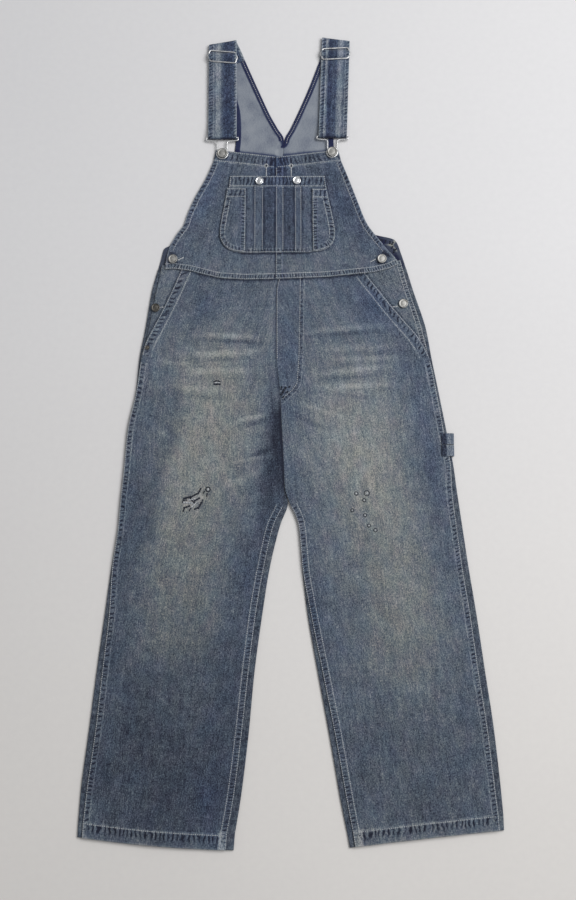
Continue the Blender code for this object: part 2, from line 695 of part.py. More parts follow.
def buckle_outline(way):
    """The buckle's wire: the bar, the shoulders, the neck and the ring at its foot."""
    ring = []
    for step in range(5):
        angle = math.radians(-18.0 * step)
        ring.append((LOOP_RADIUS * math.cos(angle), LOOP_RADIUS * math.sin(angle)))
    half = [(row.aside, row.above) for row in BUCKLE] + ring
    outline = half + [(0.0, -LOOP_RADIUS)] + [(-x, y) for x, y in half[::-1]]
    return [(front_x(way, way.ring_y + y) + x, way.ring_y + y) for x, y in outline]


def rounded(x0, x1, y0, y1, radius):
    """Corner points of a rectangle with rounded corners."""
    points = []
    for cx, cy, start in ((x1 - radius, y1 - radius, 0), (x0 + radius, y1 - radius, 90),
                          (x0 + radius, y0 + radius, 180), (x1 - radius, y0 + radius, 270)):
        for step in range(4):
            angle = math.radians(start + 30.0 * step)
            points.append((cx + radius * math.cos(angle), cy + radius * math.sin(angle)))
    return points


def slider(name, way):
    """A flat slider with two slots, woven by the strap."""
    middle = way.top_y - SLIDER_FROM_TOP
    x = front_x(way, middle)
    half_w, half_h, bar = SLIDER_WIDTH / 2, SLIDER_HEIGHT / 2, SLIDER_BAR
    outlines = [rounded(-half_w, half_w, -half_h, half_h, 4.0)]
    outlines.append(rounded(-half_w + bar, half_w - bar, bar / 2, half_h - bar, 1.2)[::-1])
    outlines.append(rounded(-half_w + bar, half_w - bar, -half_h + bar, -bar / 2, 1.2)[::-1])
    curve = bpy.data.curves.new(name, "CURVE")
    curve.dimensions = "2D"
    curve.fill_mode = "BOTH"
    curve.extrude = SLIDER_PLATE / 2 * MM
    for outline in outlines:
        spline = curve.splines.new("POLY")
        spline.points.add(len(outline) - 1)
        for point, (px, py) in zip(spline.points, outline):
            point.co = (px * MM, py * MM, 0.0, 1.0)
        spline.use_cyclic_u = True
    curve.materials.append(material(METAL))
    plate = bpy.data.objects.new(name, curve)
    under = TOP_RUN + STRAP / 2 + GAP
    plate.location = (x * MM, middle * MM, (under + SLIDER_PLATE / 2) * MM)
    return plate


def button(place):
    """A turned button: a short shank and a domed head with a rim."""
    r = place.radius
    tall = r > 5.0
    lift = 1.9 if tall else 0.4
    profile = (
        (0.0, lift + 2.6), (r * 0.55, lift + 2.5), (r * 0.8, lift + 2.1), (r * 0.86, lift + 2.4),
        (r, lift + 1.9), (r, lift + 0.8), (r * 0.85, lift), (r * 0.45, lift), (r * 0.45, 0.0), (0.0, 0.0),
    )
    mesh = bpy.data.meshes.new(place.name)
    shape = bmesh.new()
    verts = [shape.verts.new((x * MM, 0.0, z * MM)) for x, z in profile]
    for a, b in zip(verts, verts[1:]):
        shape.edges.new((a, b))
    shape.to_mesh(mesh)
    shape.free()
    mesh.materials.append(material(METAL))
    made = bpy.data.objects.new(place.name, mesh)
    screw = made.modifiers.new("turn", "SCREW")
    screw.steps = 12
    screw.render_steps = 12
    screw.use_merge_vertices = True
    screw.merge_threshold = 0.00001
    made.location = (place.x * MM, place.y * MM, (place.z + GAP) * MM)
    return made


def hammer_loop(name, top):
    """One end of the hammer loop: on the leg front, round its edge and down to the floor."""
    over = RAISED
    outer_top = over + CLOTH
    radius = outer_top / 2
    centre_x = LOOP_RIGHT - radius
    path = [(LOOP_LEFT, outer_top)]
    for step in range(7):
        angle = math.radians(30.0 * step)
        path.append((centre_x + radius * math.sin(angle), radius + radius * math.cos(angle)))
    rows = [[(x, y, z) for x, z in path[::-1]] for y in (top, top - LOOP_WIDTH / 2, top - LOOP_WIDTH)]
    return wall(name, rows, DENIM)


def build():
    clear_scene()
    garment = bpy.data.collections.new("denim_suspender_trousers")
    bpy.context.scene.collection.children.link(garment)
    layout = bpy.data.objects.new("layout", None)
    garment_top = STRAP_R.top_y + STRAP_WIDTH / 2 * math.sin(math.radians(-STRAP_R.top_turn))
    middle_x = (LEG_L[-1].outer_x + LEG_R[-1].outer_x) / 2
    middle_y = (garment_top + LEG_L[-1].inner_y) / 2
    layout.location = (-middle_x * MM, -middle_y * MM, 0.0)
    garment.objects.link(layout)
    pieces = [
        leg_back("leg_back_l", LEG_L, -1, HEM_BOW_L),
        leg_back("leg_back_r", LEG_R, 1, HEM_BOW_R),
        leg_front("leg_front_l", LEG_L, SLASH_L, CREASES_L, -1, HEM_BOW_L),
        leg_front("leg_front_r", LEG_R, SLASH_R, CREASES_R, 1, HEM_BOW_R),
        pocket_facing("pocket_facing_l", LEG_L, SLASH_L, -1),
        pocket_facing("pocket_facing_r", LEG_R, SLASH_R, 1),
        back_bib("back_bib_l", BACK_BIB_L, -1),
        back_bib("back_bib_r", BACK_BIB_R, 1),
        bib_half("bib_l", BIB_L, -1),
        bib_half("bib_r", BIB_R, 1),
        laid_pocket("bib_pocket", BIB_POCKET, POCKET),
        laid_pocket("pencil_pocket_l", PENCIL_L, PENCIL),
        laid_pocket("pencil_pocket_r", PENCIL_R, PENCIL),
        strap("strap_l", STRAP_L),
        strap("strap_r", STRAP_R),
        slider("slider_l", STRAP_L),
        slider("slider_r", STRAP_R),
        hammer_loop("hammer_loop_upper", LOOP_TOPS[0]),
        hammer_loop("hammer_loop_lower", LOOP_TOPS[1]),
    ]
    for name, way in (("buckle_l", STRAP_L), ("buckle_r", STRAP_R)):
        pieces.append(closed_wire(name, buckle_outline(way), BAR_HEIGHT, METAL))
    for place in BUTTONS:
        pieces.append(button(place))
    for piece in pieces:
        garment.objects.link(piece)
        piece.parent = layout


build()
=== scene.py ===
"""Looks of the denim suspender trousers, laid flat, front side up.

Tables and sizes are in millimetres. X runs to the right as the garment is seen, Y
towards the straps and Z up. Left and right are as seen. The tables start from the
waist seam at the centre front, and the frame's box says where that point lies.
Each cloth piece is a fine grid made solid, with its seams, ropes and creases in its
points, and its stitches are small solids of thread laid on it.
"""
import math
from collections import namedtuple

import bmesh
import bpy
import numpy as np
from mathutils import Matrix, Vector
from mathutils.bvhtree import BVHTree


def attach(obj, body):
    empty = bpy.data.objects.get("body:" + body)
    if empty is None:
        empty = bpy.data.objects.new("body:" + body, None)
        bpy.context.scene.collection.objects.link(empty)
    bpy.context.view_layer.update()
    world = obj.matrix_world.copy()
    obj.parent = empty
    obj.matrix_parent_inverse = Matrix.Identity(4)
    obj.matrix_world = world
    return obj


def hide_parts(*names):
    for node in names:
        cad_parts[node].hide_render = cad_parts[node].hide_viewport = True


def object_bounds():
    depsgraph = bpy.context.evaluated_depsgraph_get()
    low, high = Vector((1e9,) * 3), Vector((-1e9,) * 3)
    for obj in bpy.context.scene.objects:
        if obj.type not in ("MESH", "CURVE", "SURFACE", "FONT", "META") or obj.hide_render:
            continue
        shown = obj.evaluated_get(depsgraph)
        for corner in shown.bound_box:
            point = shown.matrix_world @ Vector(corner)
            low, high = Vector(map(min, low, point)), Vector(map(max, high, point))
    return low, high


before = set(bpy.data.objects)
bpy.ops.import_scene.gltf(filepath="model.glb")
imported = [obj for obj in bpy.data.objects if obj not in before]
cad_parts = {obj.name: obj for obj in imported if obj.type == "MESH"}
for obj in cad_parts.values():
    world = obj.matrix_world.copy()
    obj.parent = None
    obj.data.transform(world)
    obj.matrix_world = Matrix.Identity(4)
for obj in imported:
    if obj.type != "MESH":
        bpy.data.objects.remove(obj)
cad_low, cad_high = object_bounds()

MM = 0.001

# Cloth and the layers it lies in, as in the frame
CLOTH = 1.2
HEM = 0.8
STRAP = 2.0
GAP = 0.3
LAP = 8.0
FOLD = 4.4
FOLD_RADIUS = FOLD / 2
PANEL = FOLD + GAP
RAISED = PANEL + CLOTH + GAP
WAIST_LAP = RAISED + CLOTH + GAP
BIB = STRAP + GAP
POCKET = BIB + CLOTH + GAP
PENCIL = POCKET + CLOTH + GAP
SHELL = 1.0            # thickness of the shells

# Edges: widths of the hems and of the felled inside leg seams
EDGE_HEM = 9.0
HEM_DEPTH = 24.0
TOP_HEM = 20.5
SEAM_WIDTH = 10.6
SLASH_END = -172.0     # the pocket facing reaches down to here
SLASH_RISE = 26.0      # the leg front rises onto the facing over this length

# Straps and metal
STRAP_WIDTH = 51.0
STRAP_SHELL = 1.8
STRAP_EASE = 0.35
STRAP_SHOWN = (10.0, 22.0)     # the stations between which its upper side is seen
WIRE = 3.2             # the buckle's wire, as the strap goes round it
WIRE_SHOWN = 2.6
SLIDER_WIRE = 1.35     # radius
SLIDER_FROM_TOP = 30.0
BAR_ABOVE_LOOP = 30.0
LOOP_RADIUS = 10.0
NECK = 12.0
NECK_TOP = 24.0        # below this height over its ring the buckle's wire is drawn in
DRAWN_IN = 0.72        # to this share
SHOULDER = 28.6

# Stitches
STITCH_PITCH = 3.6
STITCH_LENGTH = 2.7
STITCH_WIDTH = 1.3

# The camera looks down at this point of the tables, tilted from straight down
LOOK_AT = (18.6, -314.3)
DISTANCE = 2172.0
TILT = 9.0
LENS = 50.0
SENSOR = 36.0

# Floor, lamp and sky, in metres and watts
FLOOR_HALF = 6.0
FLOOR_Z = -0.0002
LAMP_SIZE = (2.4, 1.8)
LAMP_PLACE = (1.7, 0.7, 2.7)
LAMP_POWER = 81.0
SKY = 0.36

ALL = 5000.0           # further than any edge runs


def table(kind, *rows):
    """Rows with named columns."""
    return [kind(*row) for row in rows]


# Leg sections from the waist to the hem: where the folded edge lies on the outer
# and the inner side, and how far in from it the front panel's seam runs
Leg = namedtuple("Leg", "outer_x outer_y outer_inset inner_x inner_y inner_inset")
LEG_L = table(
    Leg,
    (-212, 10, 7, 3, 10, 0),
    (-222, -28, 8, -1.9, -28, 0),
    (-233, -100, 6, -1.8, -100, 0),
    (-242, -151, 4, -1.7, -151, 0),
    (-247.5, -213, 1, 4.3, -213, 0),
    (-260, -280, 0, 8, -280, 0),
    (-265, -345, 0, 11.2, -345, 0),
    (-268, -380, 0, 12.8, -380, 1),
    (-270.5, -408, 0, 18.5, -408, 8),
    (-273, -448, 0, 5, -447, 11),
    (-284, -522, 2, -13, -522, 10),
    (-292, -590, 7, -24.5, -595, 11),
    (-304, -690, 9.5, -38, -697, 10),
    (-315, -790, 11, -47.5, -800, 11.5),
    (-326, -887, 10, -60, -903, 12),
    (-329.1, -937.5, 8.5, -69.1, -958.5, 13),
    (-329.2, -939, 8.5, -69.2, -960, 13),
    (-330, -963, 8, -71, -984, 13),
)
LEG_R = table(
    Leg,
    (229, 10, 11, 3, 10, 0),
    (240, -28, 9, -1.9, -28, 0),
    (262, -100, 8, -1.8, -100, 0),
    (270.5, -151, 5, -1.7, -151, 0),
    (282, -213, 4, 4.3, -213, 0),
    (294, -280, 5, 8, -280, 0),
    (305.5, -345, 5, 11.2, -345, 0),
    (309.5, -380, 8, 12.8, -380, 0),
    (313, -408, 9.5, 21.5, -408, 0),
    (318, -446, 10, 36, -444, 0),
    (328, -522, 11, 43, -525, 1),
    (338, -590, 11, 51.5, -595, 5),
    (351, -690, 11.5, 69.5, -699, 8),
    (364, -790, 11, 88.5, -803, 9.5),
    (373, -887, 10, 106, -905, 10),
    (375.8, -926.5, 8.5, 116, -954.5, 9.3),
    (375.9, -928, 8.5, 116.3, -956, 9.3),
    (376.5, -952, 8, 120.5, -980, 9),
)
CROTCH_ROW = 5         # the leg section where the legs part from each other
HEM_BOW_L = -4.0       # how far the middle of a hem lies off the line of its ends
HEM_BOW_R = 1.0

# The front edge of each slash pocket, from under the waist seam to the side seam
Point = namedtuple("Point", "x y")
SLASH_L = table(
    Point,
    (-167, 20), (-172, 7), (-186, -28), (-202, -64), (-218.5, -98), (-231, -124), (-238, -151),
)
SLASH_R = table(
    Point,
    (150, 21), (158, 5), (179, -26), (200, -56), (223, -85), (246, -113), (265.5, -151),
)

# The lower edge of the waist seam
WAIST = table(
    Point,
    (-199, 8.5), (-184, 9.5), (-157, 6), (-126, -2), (-104, -7.5), (-57, -10.5), (4, -9),
    (90, -5.5), (142, 0), (170, 3), (197, 9.5), (216, 18.5),
)

# By height above the waist seam: how far the leg front has risen to its place under
# the bib, and the underside of the bib
WAIST_RISE = ((-40.0, 0.0), (-10.0, 1.0))
BIB_RISE = ((12.0, WAIST_LAP), (38.0, BIB))

# Sections of the flat pieces, top to bottom: the bib's halves from the armhole to the
# centre front, the others from their left edge to their right
BibRow = namedtuple("BibRow", "armhole_x armhole_y centre_y")
Section = namedtuple("Section", "left_x left_y right_x right_y")
CENTRE_FRONT = -3.0
BIB_L = table(
    BibRow,
    (-111.5, 233, 220), (-115, 212.5, 200), (-115.5, 211, 198.5), (-128.5, 180, 170),
    (-150, 139, 135), (-162, 109, 104), (-167, 93, 82), (-180, 74, 60), (-193.5, 48, 34),
    (-197, 31, 14), (-199, 8.5, -9),
)
BIB_R = table(
    BibRow,
    (109, 233, 220), (114, 212.5, 200), (114.6, 211, 198.5), (128, 177, 170), (142, 139, 135),
    (153, 109, 104), (161.5, 91, 82), (174.5, 73, 60), (195, 47, 34), (208, 31, 14),
    (216, 18.5, -9),
)
BIB_POCKET = table(
    Section,
    (-85.5, 183, 85, 183),
    (-87.5, 164, 87, 164),
    (-87.8, 162.5, 87.3, 162.5),
    (-95.5, 122, 95, 122),
    (-103, 83, 102.5, 83),
    (-103, 72, 102.5, 72),
    (-98.6, 58, 98.2, 57.5),
    (-91, 49, 89, 49),
    (-79, 43, 74, 43.5),
    (-62, 40, 52, 41),
)
PENCIL_L = table(
    Section,
    (-91, 159, -57, 159),
    (-93, 143, -57, 143),
    (-93.3, 141.5, -57, 141.5),
    (-103, 83, -57.5, 83),
    (-103, 72, -57.6, 72),
    (-98.6, 58.5, -57.7, 58),
    (-91, 49.8, -57.8, 49.4),
    (-79.5, 44, -57.9, 43.6),
    (-66, 41.4, -58, 41.2),
)
PENCIL_R = table(
    Section,
    (62, 158, 88, 158),
    (62, 142, 91, 142),
    (62, 140.5, 91.3, 140.5),
    (62.3, 83, 102.5, 83),
    (62.5, 72, 102.5, 72),
    (62.7, 58, 98.2, 58),
    (62.8, 49.8, 89, 49.8),
    (62.9, 45.4, 76.5, 45.2),
    (63, 43.4, 68, 43.4),
)
BACK_WAIST = 10.0 + GAP
NECK_ROW = 4           # the back bib section where the neck ends in its V
NECK_CROSSING = ((23.0, 274.0), (12.0, 251.5), (9.5, 246.5))
BACK_BIB_L = table(
    Section,
    (-106.6, 386.5, -60, 405.6),
    (-83.5, 331, -37, 352),
    (-76.5, 300, -13, 298),
    (-75, 272, 0, 274),
    (-75.5, 250, 11.3, 251.5),
    (-82, 200, 8.6, 210),
    (-98, 150, 7.2, 172),
    (-125, 98, 6, 130),
    (-160, 66, 5, 92),
    (-202, 47.5, 4, 58),
    (-206.5, 30, 3.4, 34),
    (-211.5, BACK_WAIST, 3, BACK_WAIST),
)
BACK_BIB_R = table(
    Section,
    (75.6, 403.2, 122.4, 384.6),
    (56.8, 352, 102, 333.5),
    (34, 298, 100.5, 296),
    (23, 274, 100.5, 272),
    (12.1, 251.5, 100.8, 250),
    (8.8, 210, 104, 200),
    (7.4, 172, 113, 152),
    (6.2, 130, 132, 108),
    (5.2, 96, 166, 77),
    (4.4, 66, 209, 64),
    (3.8, 38, 220, 38),
    (3.3, BACK_WAIST, 228.5, BACK_WAIST),
)

# Each strap's way: from the back bib over its fold at the top and down to the buckle
StrapWay = namedtuple("StrapWay", "start_x start_y start_turn top_x top_y top_turn ring_x ring_y")
STRAP_L = StrapWay(-83.3, 395.9, 22.4, -100.5, 439.8, 10.0, -99.7, 225.5)
STRAP_R = StrapWay(99.0, 393.9, -21.7, 106.0, 446.0, -7.5, 98.1, 228.2)
STRAP_START_GAP = 0.6

# Heights of a strap's middle: its back run, the tail on it and the upper run on the tail
BACK_RUN = STRAP / 2
TAIL = BACK_RUN + STRAP + GAP
TOP_RUN = TAIL + STRAP + GAP
OVER_BAR = TOP_RUN + 5.2       # where it passes over the slider's middle bar
WIRE_TURN = (WIRE + STRAP) / 2 + STRAP_EASE    # radius of its middle round the buckle's bar
BAR_HEIGHT = TAIL + WIRE_TURN

# The strap's way in stations: distance above the slider's middle or the buckle's bar,
# height of its middle, and share of the fold's turn that is left in it
Station = namedtuple("Station", "along z turned")
OVER_SLIDER = table(
    Station,
    (11.5, TOP_RUN, 0.4), (8.5, TOP_RUN, 0.1), (3.2, OVER_BAR - 0.4, 0.1), (0, OVER_BAR, 0),
    (-3.2, OVER_BAR - 0.4, 0), (-9, TOP_RUN, 0), (-15, TOP_RUN, 0), (-45, TOP_RUN, 0),
    (-80, TOP_RUN, 0),
)
TO_BAR = table(
    Station,
    (36, TOP_RUN, 0), (20, TOP_RUN + 0.8, 0), (8, TOP_RUN + 3, 0),
)
TAIL_FROM_BAR = table(
    Station,
    (20, TAIL, 0), (60, TAIL, 0),
)
TAIL_END = table(
    Station,
    (-45, TAIL, 0), (-15, TAIL, 0), (-9, TAIL + 0.1, 0), (-3.5, TAIL + 2.2, 0),
    (1.5, TAIL + 2.5, 0),
)

# Half of a buckle's wire, from its bar down to the ring
Bend = namedtuple("Bend", "aside above")
BUCKLE = table(
    Bend,
    (24, BAR_ABOVE_LOOP), (SHOULDER - 1.2, BAR_ABOVE_LOOP - 0.8), (SHOULDER, BAR_ABOVE_LOOP - 3),
    (SHOULDER - 1.4, BAR_ABOVE_LOOP - 5.4), (24, 23.6), (16, 22.8), (NECK + 1, 21), (NECK, 18),
    (NECK, 9), (LOOP_RADIUS + 1, 4.5),
)

# The largest folds of the leg fronts: middle, direction from +X, length, width, height
Crease = namedtuple("Crease", "x y turn length width height")
CREASES_L = table(
    Crease,
    (-60, -222, 14, 190, 46, 1.8),
    (-70, -285, 20, 170, 44, 2.2),
    (-110, -170, -8, 150, 40, 1.2),
    (-150, -520, 78, 260, 70, 2),
    (-215, -640, 84, 300, 70, 1.4),
    (-140, -800, 82, 240, 80, 1.6),
)
CREASES_R = table(
    Crease,
    (90, -230, -16, 180, 46, 1.8),
    (110, -300, -24, 190, 48, 2),
    (150, -160, 6, 150, 40, 1.2),
    (190, -540, -80, 280, 76, 2.2),
    (270, -700, -82, 260, 70, 1.4),
    (220, -840, -80, 220, 80, 1.6),
)

# Turned metal buttons: place, height of the cloth under them, radius
Button = namedtuple("Button", "name x y z radius")
BIB_TOP = BIB + CLOTH
BUTTONS = table(
    Button,
    ("strap_button_l", -99.7, 225, BIB_TOP + HEM, 7.5),
    ("strap_button_r", 98.1, 227.7, BIB_TOP + HEM, 7.5),
    ("pocket_button_l", -32.6, 172.5, POCKET + CLOTH + HEM, 7.2),
    ("pocket_button_r", 34.4, 173.5, POCKET + CLOTH + HEM, 7.2),
    ("waist_button_l", -185.3, 26.5, WAIST_LAP + CLOTH - 0.3, 8.2),
    ("waist_button_r", 185, 27.4, WAIST_LAP + CLOTH - 1.1, 8.2),
    ("side_button_l", -214.8, -61.8, PANEL + CLOTH, 7.6),
    ("side_button_r", 222, -54, PANEL + CLOTH, 8.2),
    ("rivet_l", -228, -134, RAISED + CLOTH, 4),
)

# The hammer loop's two ends, one above the other at the right side seam
LOOP_LEFT = 284.5
LOOP_RIGHT = 306.8
LOOP_TOPS = (-286.0, -306.6)
LOOP_WIDTH = 19.6

# Where the tables' first point lies in the frame
ORIGIN_X = cad_low.x / MM - LEG_L[-1].outer_x
ORIGIN_Y = cad_low.y / MM - LEG_L[-1].inner_y

# Fading, from -1 for dark indigo to 1 for worn pale, with one painted shadow in the left leg's crotch: a
# soft oval each
WashAndShade = namedtuple("WashAndShade", "x y turn length width fade warm")
WASH_AND_SHADE_L = table(
    WashAndShade,
    (-112, -265, 86, 430, 230, 0.78, 0.9),
    (-120, -160, 10, 170, 150, 0.12, 0.3),
    (-165, -480, 80, 420, 190, 0.40, 0.9),
    (-150, -620, 80, 260, 180, 0.14, 0.6),
    (-126, -61, 60, 110, 70, -0.30, -0.4),
    # painted shadow in the fold between the legs, beside the fly
    (-8, -330, 86, 330, 46, -1, 0.1),
    (-255, -460, 84, 520, 70, -0.35, -0.1),
    (-190, -860, 88, 480, 420, -0.60, 0.45),
    (-110, -900, 86, 160, 90, -0.20, -0.7),
    (-60, -570, 80, 460, 70, -0.34, -0.3),
)
WASH_R = table(
    WashAndShade,
    (132, -285, -84, 400, 240, 0.76, 0.6),
    (100, -160, -6, 170, 110, 0.06, 0.1),
    (190, -470, -82, 460, 220, 0.44, 0.8),
    (215, -640, -82, 300, 200, 0.32, 0.6),
    (20, -150, 90, 200, 50, -0.22, -0.4),
    (165, -60, -60, 130, 80, -0.40, -0.6),
    (262, -330, -80, 460, 60, -0.34, -0.5),
    (60, -620, -82, 600, 60, -0.30, -0.1),
    (230, -880, -86, 440, 420, -0.20, 0.45),
)
WASH_BIB = table(
    WashAndShade,
    (-120, 120, 60, 220, 90, 0.04, 0),
    (-130, 140, 62, 160, 40, -0.16, -0.6),
    (0, 120, 0, 190, 190, -0.22, -0.2),
    (3, 205, 90, 90, 46, -0.5, -0.9),
    (125, 130, -60, 220, 70, -0.30, -0.3),
    (0, 15, 0, 420, 60, 0.12, 0.2),
)

# Whiskers: the finer folds that the hips press in, paler on their ridges
WHISKERS_L = table(
    Crease,
    (-88, -112, -3, 150, 13, 1),
    (-82, -122, -3, 130, 10, -0.9),
    (-94, -143, 3, 180, 15, 0.9),
    (-90, -155, 2, 120, 9, -0.5),
    (-101, -175, 1, 170, 15, 0.8),
    (-90, -189, -2, 120, 10, -0.5),
    (-185, -160, -8, 90, 12, 0.7),
    (-150, -206, -6, 150, 13, 0.7),
    (-130, -222, -6, 120, 10, -0.6),
    (-43, -258, 13, 90, 9, 1),
    (-38, -268, 14, 80, 12, -0.8),
    (-29, -320, 21, 70, 11, -1.1),
    (-43, -331, 9, 90, 9, 0.9),
    (-60, -366, 24, 90, 16, 0.7),
)
WHISKERS_R = table(
    Crease,
    (127, -98, 4, 180, 13, 0.9),
    (118, -109, 4, 150, 10, -0.7),
    (164, -153, 1, 160, 14, 0.7),
    (130, -134, 3, 150, 15, 0.6),
    (133, -174, 7, 170, 14, 0.9),
    (128, -187, 6, 150, 10, -0.6),
    (140, -202, 3, 180, 14, 0.8),
    (120, -219, -6, 120, 11, -0.5),
    (78, -246, -18, 120, 13, 0.7),
    (60, -268, -22, 90, 11, -0.6),
    (50, -330, -50, 110, 16, 0.6),
)

# A stretch of seam or hem: the edge that it follows, where along it, its width, and the
# ropes and dark marks that washing left between its stitches: how strong, the share of
# the width at their middle and half of how far they reach
Band = namedtuple(
    "Band", "edge begin end width pitch slant depth lift marks centre reach", defaults=(0.5, 0.55)
)

# Which way is in from an edge, to the left of its line or to the right
INWARD = {"left": 1.0, "right": -1.0, "down": -1.0, "up": 1.0}

# A piece's outer and inner edge by its side: -1 for the left as seen, 1 for the right
EDGES = {-1: ("left", "right"), 1: ("right", "left")}

# The fly's curved stitches on the right leg front
J_STITCH = (
    (40.4, -5.5), (39.4, -70), (37.9, -147), (34.4, -197), (26, -209), (16, -218), (6.6, -227),
)

# Seams and hems of each panel
BANDS_LEG_L = table(
    Band,
    ("up", -ALL, ALL, HEM_DEPTH, 8, 0.06, 0.42, 0.1, 1.3, 0.72, 0.34),
    ("right", 412, ALL, SEAM_WIDTH, 6, -0.1, 0.26, 0.3, 0.9, 0.45, 0.45),
    ("left", 6, 178, 16.5, 10, 0.6, 0.26, 0, 1.3, 0.42, 0.30),
    ("left", 190, ALL, 10, 7.5, 0.15, 0.22, 0.1, 1.2, 0.5, 0.38),
)
BANDS_LEG_R = table(
    Band,
    ("up", -ALL, ALL, HEM_DEPTH, 8, -0.06, 0.42, 0.1, 1.3, 0.72, 0.34),
    ("left", 412, ALL, SEAM_WIDTH, 6, 0.1, 0.26, 0.3, 0.9, 0.45, 0.45),
    ("right", 6, 196, 16.5, 10, -0.6, 0.26, 0, 1.3, 0.42, 0.30),
    ("right", 204, ALL, 10, 6.5, -0.15, 0.22, 0.1, 1.2, 0.5, 0.38),
    (J_STITCH, 0, ALL, 7, 7, 0.2, 0.12, 0, 1, 0.4, 0.4),
)
BANDS_FACING_R = table(Band, ("right", 0, ALL, 8, 5.6, 0.1, 0.2, 0.15, 1.1))
BANDS_BIB_L = table(
    Band,
    ("down", -ALL, ALL, TOP_HEM, 7.4, 0.2, 0.30, 0, 0.75, 0.55, 0.42),
    ("left", 22, 196, EDGE_HEM, 7.5, 0.4, 0.28, 0, 1.1),
    ("up", -ALL, ALL, 9.5, 4.8, -0.1, 0.26, 0.3, 1.3, 0.5, 0.45),
)
BANDS_BIB_R = table(
    Band,
    ("down", -ALL, ALL, TOP_HEM, 7.4, -0.2, 0.30, 0, 0.85, 0.5, 0.45),
    ("right", 22, 196, EDGE_HEM, 7.5, -0.4, 0.28, 0, 1.1),
    ("up", -ALL, ALL, 9.5, 4.8, 0.1, 0.26, 0.3, 1.3, 0.5, 0.45),
    ("left", 20, 215, 11, 8, 0.2, 0.26, 0.3, 0.9),
)
BANDS_POCKET = table(
    Band,
    ("down", -ALL, ALL, 19, 7.4, 0.1, 0.26, 0, 1.1),
    ("up", -ALL, ALL, 7, 6.5, 0.1, 0.26, 0, 1.2),
    ("left", 20, ALL, 8, 8, 0.3, 0.2, 0, 0.9),
    ("right", 20, ALL, 8, 8, -0.3, 0.2, 0, 0.9),
)
BANDS_PENCIL_L = table(
    Band,
    ("down", -ALL, ALL, 16, 7, 0.2, 0.22, 0, 1),
    ("left", 16, ALL, 9, 8, 0.3, 0.22, 0, 1),
    ("up", -ALL, ALL, 8, 6.5, 0.2, 0.26, 0, 1.1),
    ("right", 16, ALL, 8, 6, 0.1, 0.20, 0, 1.2),
)
BANDS_PENCIL_R = table(
    Band,
    ("down", -ALL, ALL, 16, 7, 0.2, 0.22, 0, 1),
    ("right", 16, ALL, 10, 8, 0.3, 0.30, 0, 1.4),
    ("up", -ALL, ALL, 10, 6.5, -0.2, 0.36, 0, 1.4),
    ("left", 16, ALL, 9, 6, 0.1, 0.24, 0, 1.4),
)
BANDS_STRAP = table(
    Band,
    ("left", 0, ALL, 9, 6.5, 0.4, 0.30, 0.05, 0.9),
    ("right", 0, ALL, 6.4, 6, -0.4, 0.24, 0.05, 0.9),
)

# Fading across a strap, from its left edge to its right
TONES_L = (
    (-25.5, 0.1), (-23.0, -0.1), (-16.0, 0.1), (-13.0, 0.2), (-11.5, 0.9), (-5.0, 0.85), (-2.0, 0.0),
    (3.0, -0.6), (8.0, -0.8), (17.0, -0.6), (19.5, -0.9), (22.0, 0.1), (23.5, 0.9), (25.5, 0.7),
)
TONES_R = (
    (-25.5, 0.7), (-22.5, 0.75), (-21.0, -0.3), (-18.5, -0.3), (-16.5, 0.5), (-13.5, 0.4),
    (-11.5, -0.9), (-6.5, -0.85), (-3.5, -0.4), (2.5, -0.6), (5.5, 0.4), (10.0, 0.8), (14.0, 0.6),
    (16.5, -0.1), (25.5, 0.25),
)

WASH_BACK_L = table(WashAndShade, (-210, -860, 88, 500, 420, -0.15, -0.1))
WASH_BACK_R = table(WashAndShade, (230, -880, -86, 440, 420, -0.05, 0))

# Rows of stitches by panel: along which edge, how far in, from where to where, which thread
Row = namedtuple("Row", "edge distance begin end thread", defaults=(-ALL, ALL, "pale"))
STITCHES = {
    "leg_l": (
        ("up", 23.2), ("right", 1, 415), ("right", 10.8, 415), ("left", 1, 190),
        ("left", 1.6, 4, 178), ("left", 16.5, 4, 160),
    ),
    "leg_r": (
        ("up", 23.2), ("left", 1, 415), ("left", 10.8, 415), ("left", 1.2, 8, 155),
        ("right", 1, 204), ("right", 1.6, 4, 196), ("right", 16.5, 4, 176),
    ),
    "facing_r": (("right", 1.4), ("right", 8)),
    "bib_l": (
        ("down", 1.6), ("down", 19.6), ("left", 8.4, 22, 208), ("up", 1.4), ("up", 9.4),
    ),
    "bib_r": (
        ("down", 1.6), ("down", 19.6), ("right", 8.4, 22, 208), ("up", 1.4), ("up", 9.4),
        ("left", 0.9, 20), ("left", 11.2, 20, ALL, "blue"),
    ),
    "pocket": (
        ("down", 1.6), ("down", 18.6), ("left", 1.6), ("right", 1.6), ("up", 1.6),
    ),
    "pencil_l": (
        ("down", 1.4), ("down", 15), ("left", 1.6, 4), ("left", 8.6, 20, 84), ("up", 1.6),
        ("right", 1.4), ("right", 8, 16, ALL, "blue"),
    ),
    "pencil_r": (
        ("down", 1.4), ("down", 15), ("left", 1.4), ("left", 8.6, 16, ALL, "blue"),
        ("right", 1.6, 4), ("right", 10, 20, 90), ("up", 1.6),
    ),
    "back_l": (("right", 4.6, -ALL, 175),),
    "back_r": (("left", 4.6, -ALL, 172),),
    "strap_l": (
        ("left", 8.8), ("left", 1.4, -ALL, ALL, "blue"), ("right", 6.2, -ALL, ALL, "dark"),
        ("right", 1.2),
    ),
    "strap_r": (
        ("left", 1.2), ("left", 6, -ALL, ALL, "dark"), ("right", 7.6, -ALL, ALL, "dark"),
        ("right", 1.4, -ALL, ALL, "blue"),
    ),
}


def pocket_line(x):
    """A line down the bib pocket, below its top band."""
    return (x, 163.5), (x, 42)


# Lines of stitches inside a panel
POCKET_LINES = (-40.6, -27.2, -1.9, 9.4, 32, 41.5)
LINES = [("leg_r", J_STITCH)] + [("pocket", pocket_line(x)) for x in POCKET_LINES]
